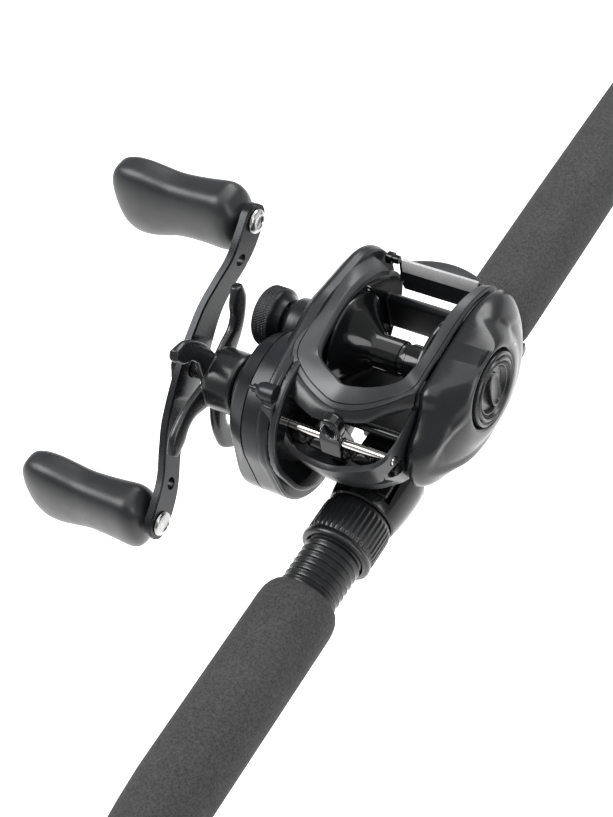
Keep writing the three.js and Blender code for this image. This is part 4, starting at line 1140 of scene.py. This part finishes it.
# ---------------------------------------------------------------- handle arm
arm_centre = [(-51, -54.3), (-40, -54.4), (-33, -55.2), (-25, -57.4), (-16, -59.0), (0, -59.2), (16, -59.0),
              (25, -57.4), (33, -55.2), (40, -54.4), (51, -54.3)]
arm_half_width = [5.2, 5.2, 4.7, 4.7, 5.4, 6.6, 5.4, 4.7, 4.7, 5.2, 5.2]
path = spline(arm_centre, 10)
widths = spline([(half, 0) for half in arm_half_width], 10)
rows = []
ARM_HALF_THICK = 1.35
ARM_END_HALF_SQUARED = 0.04  # keeps a little width at the very end
for (u, x), (half, _) in zip(path, widths):
    over = abs(u) - HALF_SPAN
    half = half if over <= 0 else math.sqrt(max(ARM_END_HALF_SQUARED, half ** 2 - over ** 2))
    ring = []
    for side, depth in ((-1, -0.75), (-0.88, -1), (0.88, -1), (1, -0.75), (1, 0.75), (0.88, 1), (-0.88, 1),
        (-1, 0.75)):
        ring.append((x + depth * ARM_HALF_THICK, u, side * half))
    rows.append(ring)
arm = loft("handle_arm_bar", rows)
LIGHT_HOLE = 0.74  # place of the lightening hole along the half span
holes = []
for u in (-HALF_SPAN, HALF_SPAN):
    holes.append(bore("pin_hole", (u, 0), 2.3, -64, -48, 40))
    holes.append(bore("light_hole", (u * LIGHT_HOLE, 0), 1.9, -64, -48, 40))
holes.append(bore("shaft_hole", (0, 0), 2.9, -64, -48, 40))
carve(arm, holes)
arm.data.transform(Matrix.Translation((0, CRANK[0] * MM, CRANK[1] * MM)) @ Matrix.Rotation(TILT, 4, "X"))
dress(arm, anodised, "crank", ["handle_arm"], 25)

# ---------------------------------------------------------------- knobs and spindles
KNOB_X = -56.2
# Distance out from the arm, half height, half thickness and droop.
knob_sections = [
    (0, 3.6, 3.6, 0), (0.6, 4.4, 4.2, 0), (1.4, 6.4, 5.6, 0.3), (2.6, 8.6, 6.8, 0.6), (4.4, 10.2, 7.4, 0.9),
    (7, 10.8, 7.5, 1.2), (12, 10.5, 7.1, 1.6), (18, 10.3, 6.7, 2.1), (24, 10.6, 6.5, 2.6),
    (30, 12.0, 6.7, 3.2),
    (35, 13.0, 6.8, 3.6), (39.5, 13.2, 6.5, 3.9), (43, 12.2, 5.7, 4.0), (45.2, 9.8, 4.5, 4.1),
    (46.3, 6.8, 2.9, 4.1),
    (46.7, 3.0, 1.4, 4.1)]
for end, side in (("front", -1), ("rear", 1)):
    y = CRANK[0] + side * HALF_SPAN * math.cos(TILT)
    z = CRANK[1] + side * HALF_SPAN * math.sin(TILT)
    rings = []
    for out, high, thick, droop in spline(knob_sections, 4):
        ring = []
        for k in range(56):
            q = TAU * k / 56
            cy = squared(math.cos(q), 0.62)
            cz = squared(math.sin(q), 0.9)
            ring.append((KNOB_X - out, y + thick * cy, z + high * cz - droop))
        rings.append(ring)
    knob = loft(f"knob_{end}_paddle", rings)
    carve(knob, [bore("bore", (y, z), 2.3, -89, -50, 32)])
    dress(knob, rubber, f"knob_{end}", [f"knob_{end}"], 50)
    dress(tube(f"knob_{end}_bushing", "x", (y, z), 4.3, 2.35, -56.0, -55.75, 40, 0.05), shell,
        f"knob_{end}")
    dress(turned(f"knob_spindle_{end}_rivet", "x", (y, z), [
        (0, -88.6), (2, -88.6), (2, -52.75), (3.6, -52.75), (3.7, -52.5), (3.55, -52.1), (3.2, -51.8),
        (2.3, -51.65),
        (2.0, -51.9), (1.2, -52.1), (0, -52.1)], 48), steel, "crank", [f"knob_spindle_{end}"])

# ---------------------------------------------------------------- stage
FLOOR_Z = -0.62
FLOOR_SIZE = 60
FLOOR_GLOW = 0.75
WORLD_LIGHT = 0.38
bpy.ops.mesh.primitive_plane_add(size=FLOOR_SIZE, location=(0, 0, FLOOR_Z))
floor = bpy.context.object
floor.name = "studio_floor"
floor_material, nodes, links, shader, coords = new_material("pale_floor")
links.new(ramp(nodes, links, noise(nodes, links, coords, 0.6), (0.93, 0.93, 0.93), (0.96, 0.96, 0.96)),
          shader.inputs["Base Color"])
shader.inputs["Roughness"].default_value = 0.9
shader.inputs["Emission Color"].default_value = (1, 1, 1, 1)
shader.inputs["Emission Strength"].default_value = FLOOR_GLOW
floor.data.materials.append(floor_material)
floor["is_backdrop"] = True

world = bpy.data.worlds.new("studio")
bpy.context.scene.world = world
world.use_nodes = True
background = world.node_tree.nodes["Background"]
background.inputs["Color"].default_value = (1, 1, 1, 1)
background.inputs["Strength"].default_value = WORLD_LIGHT


def area(name, location, target, size, power):
    """Rectangular light aimed at a target, metres and watts."""
    data = bpy.data.lights.new(name, "AREA")
    data.shape = "RECTANGLE"
    data.size = size[0]
    data.size_y = size[1]
    data.energy = power
    lamp = bpy.data.objects.new(name, data)
    bpy.context.collection.objects.link(lamp)
    lamp.location = location
    lamp.rotation_euler = (Vector(target) - Vector(location)).to_track_quat("-Z", "Y").to_euler()


area("key", (-0.75, -0.35, 0.95), (0, 0, 0.03), (0.7, 0.7), 13)
area("back", (0.15, 0.95, 0.85), (0, 0, 0.03), (1.3, 0.45), 11)
area("side", (1.05, -0.15, 0.35), (0, 0, 0.03), (0.35, 0.9), 4)
area("floor_wash", (0.4, 0.5, 1.6), (0, 0.5, -0.6), (2.4, 2.4), 22)

LENS = 78.9
CAMERA_PLACE = (0.20838, -0.26533, 0.40526)
AZIMUTH = math.radians(42.9)
ELEVATION = math.radians(48.5)
ROLL = math.radians(15.3)
camera_data = bpy.data.cameras.new("camera")
camera_data.lens = LENS
camera_data.sensor_width = 36
camera_data.clip_start = 0.01
camera_data.clip_end = 100
camera = bpy.data.objects.new("camera", camera_data)
bpy.context.collection.objects.link(camera)
back = Vector((
    math.sin(AZIMUTH) * math.cos(ELEVATION),
    -math.cos(AZIMUTH) * math.cos(ELEVATION),
    math.sin(ELEVATION),
))
level = Vector((math.cos(AZIMUTH), math.sin(AZIMUTH), 0))
lift = back.cross(level)
right = level * math.cos(ROLL) - lift * math.sin(ROLL)
up = level * math.sin(ROLL) + lift * math.cos(ROLL)
turn = Matrix((right, up, back)).transposed().to_4x4()
camera.matrix_world = Matrix.Translation(CAMERA_PLACE) @ turn
bpy.context.scene.camera = camera
bpy.context.scene.view_settings.view_transform = "Standard"

low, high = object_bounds()
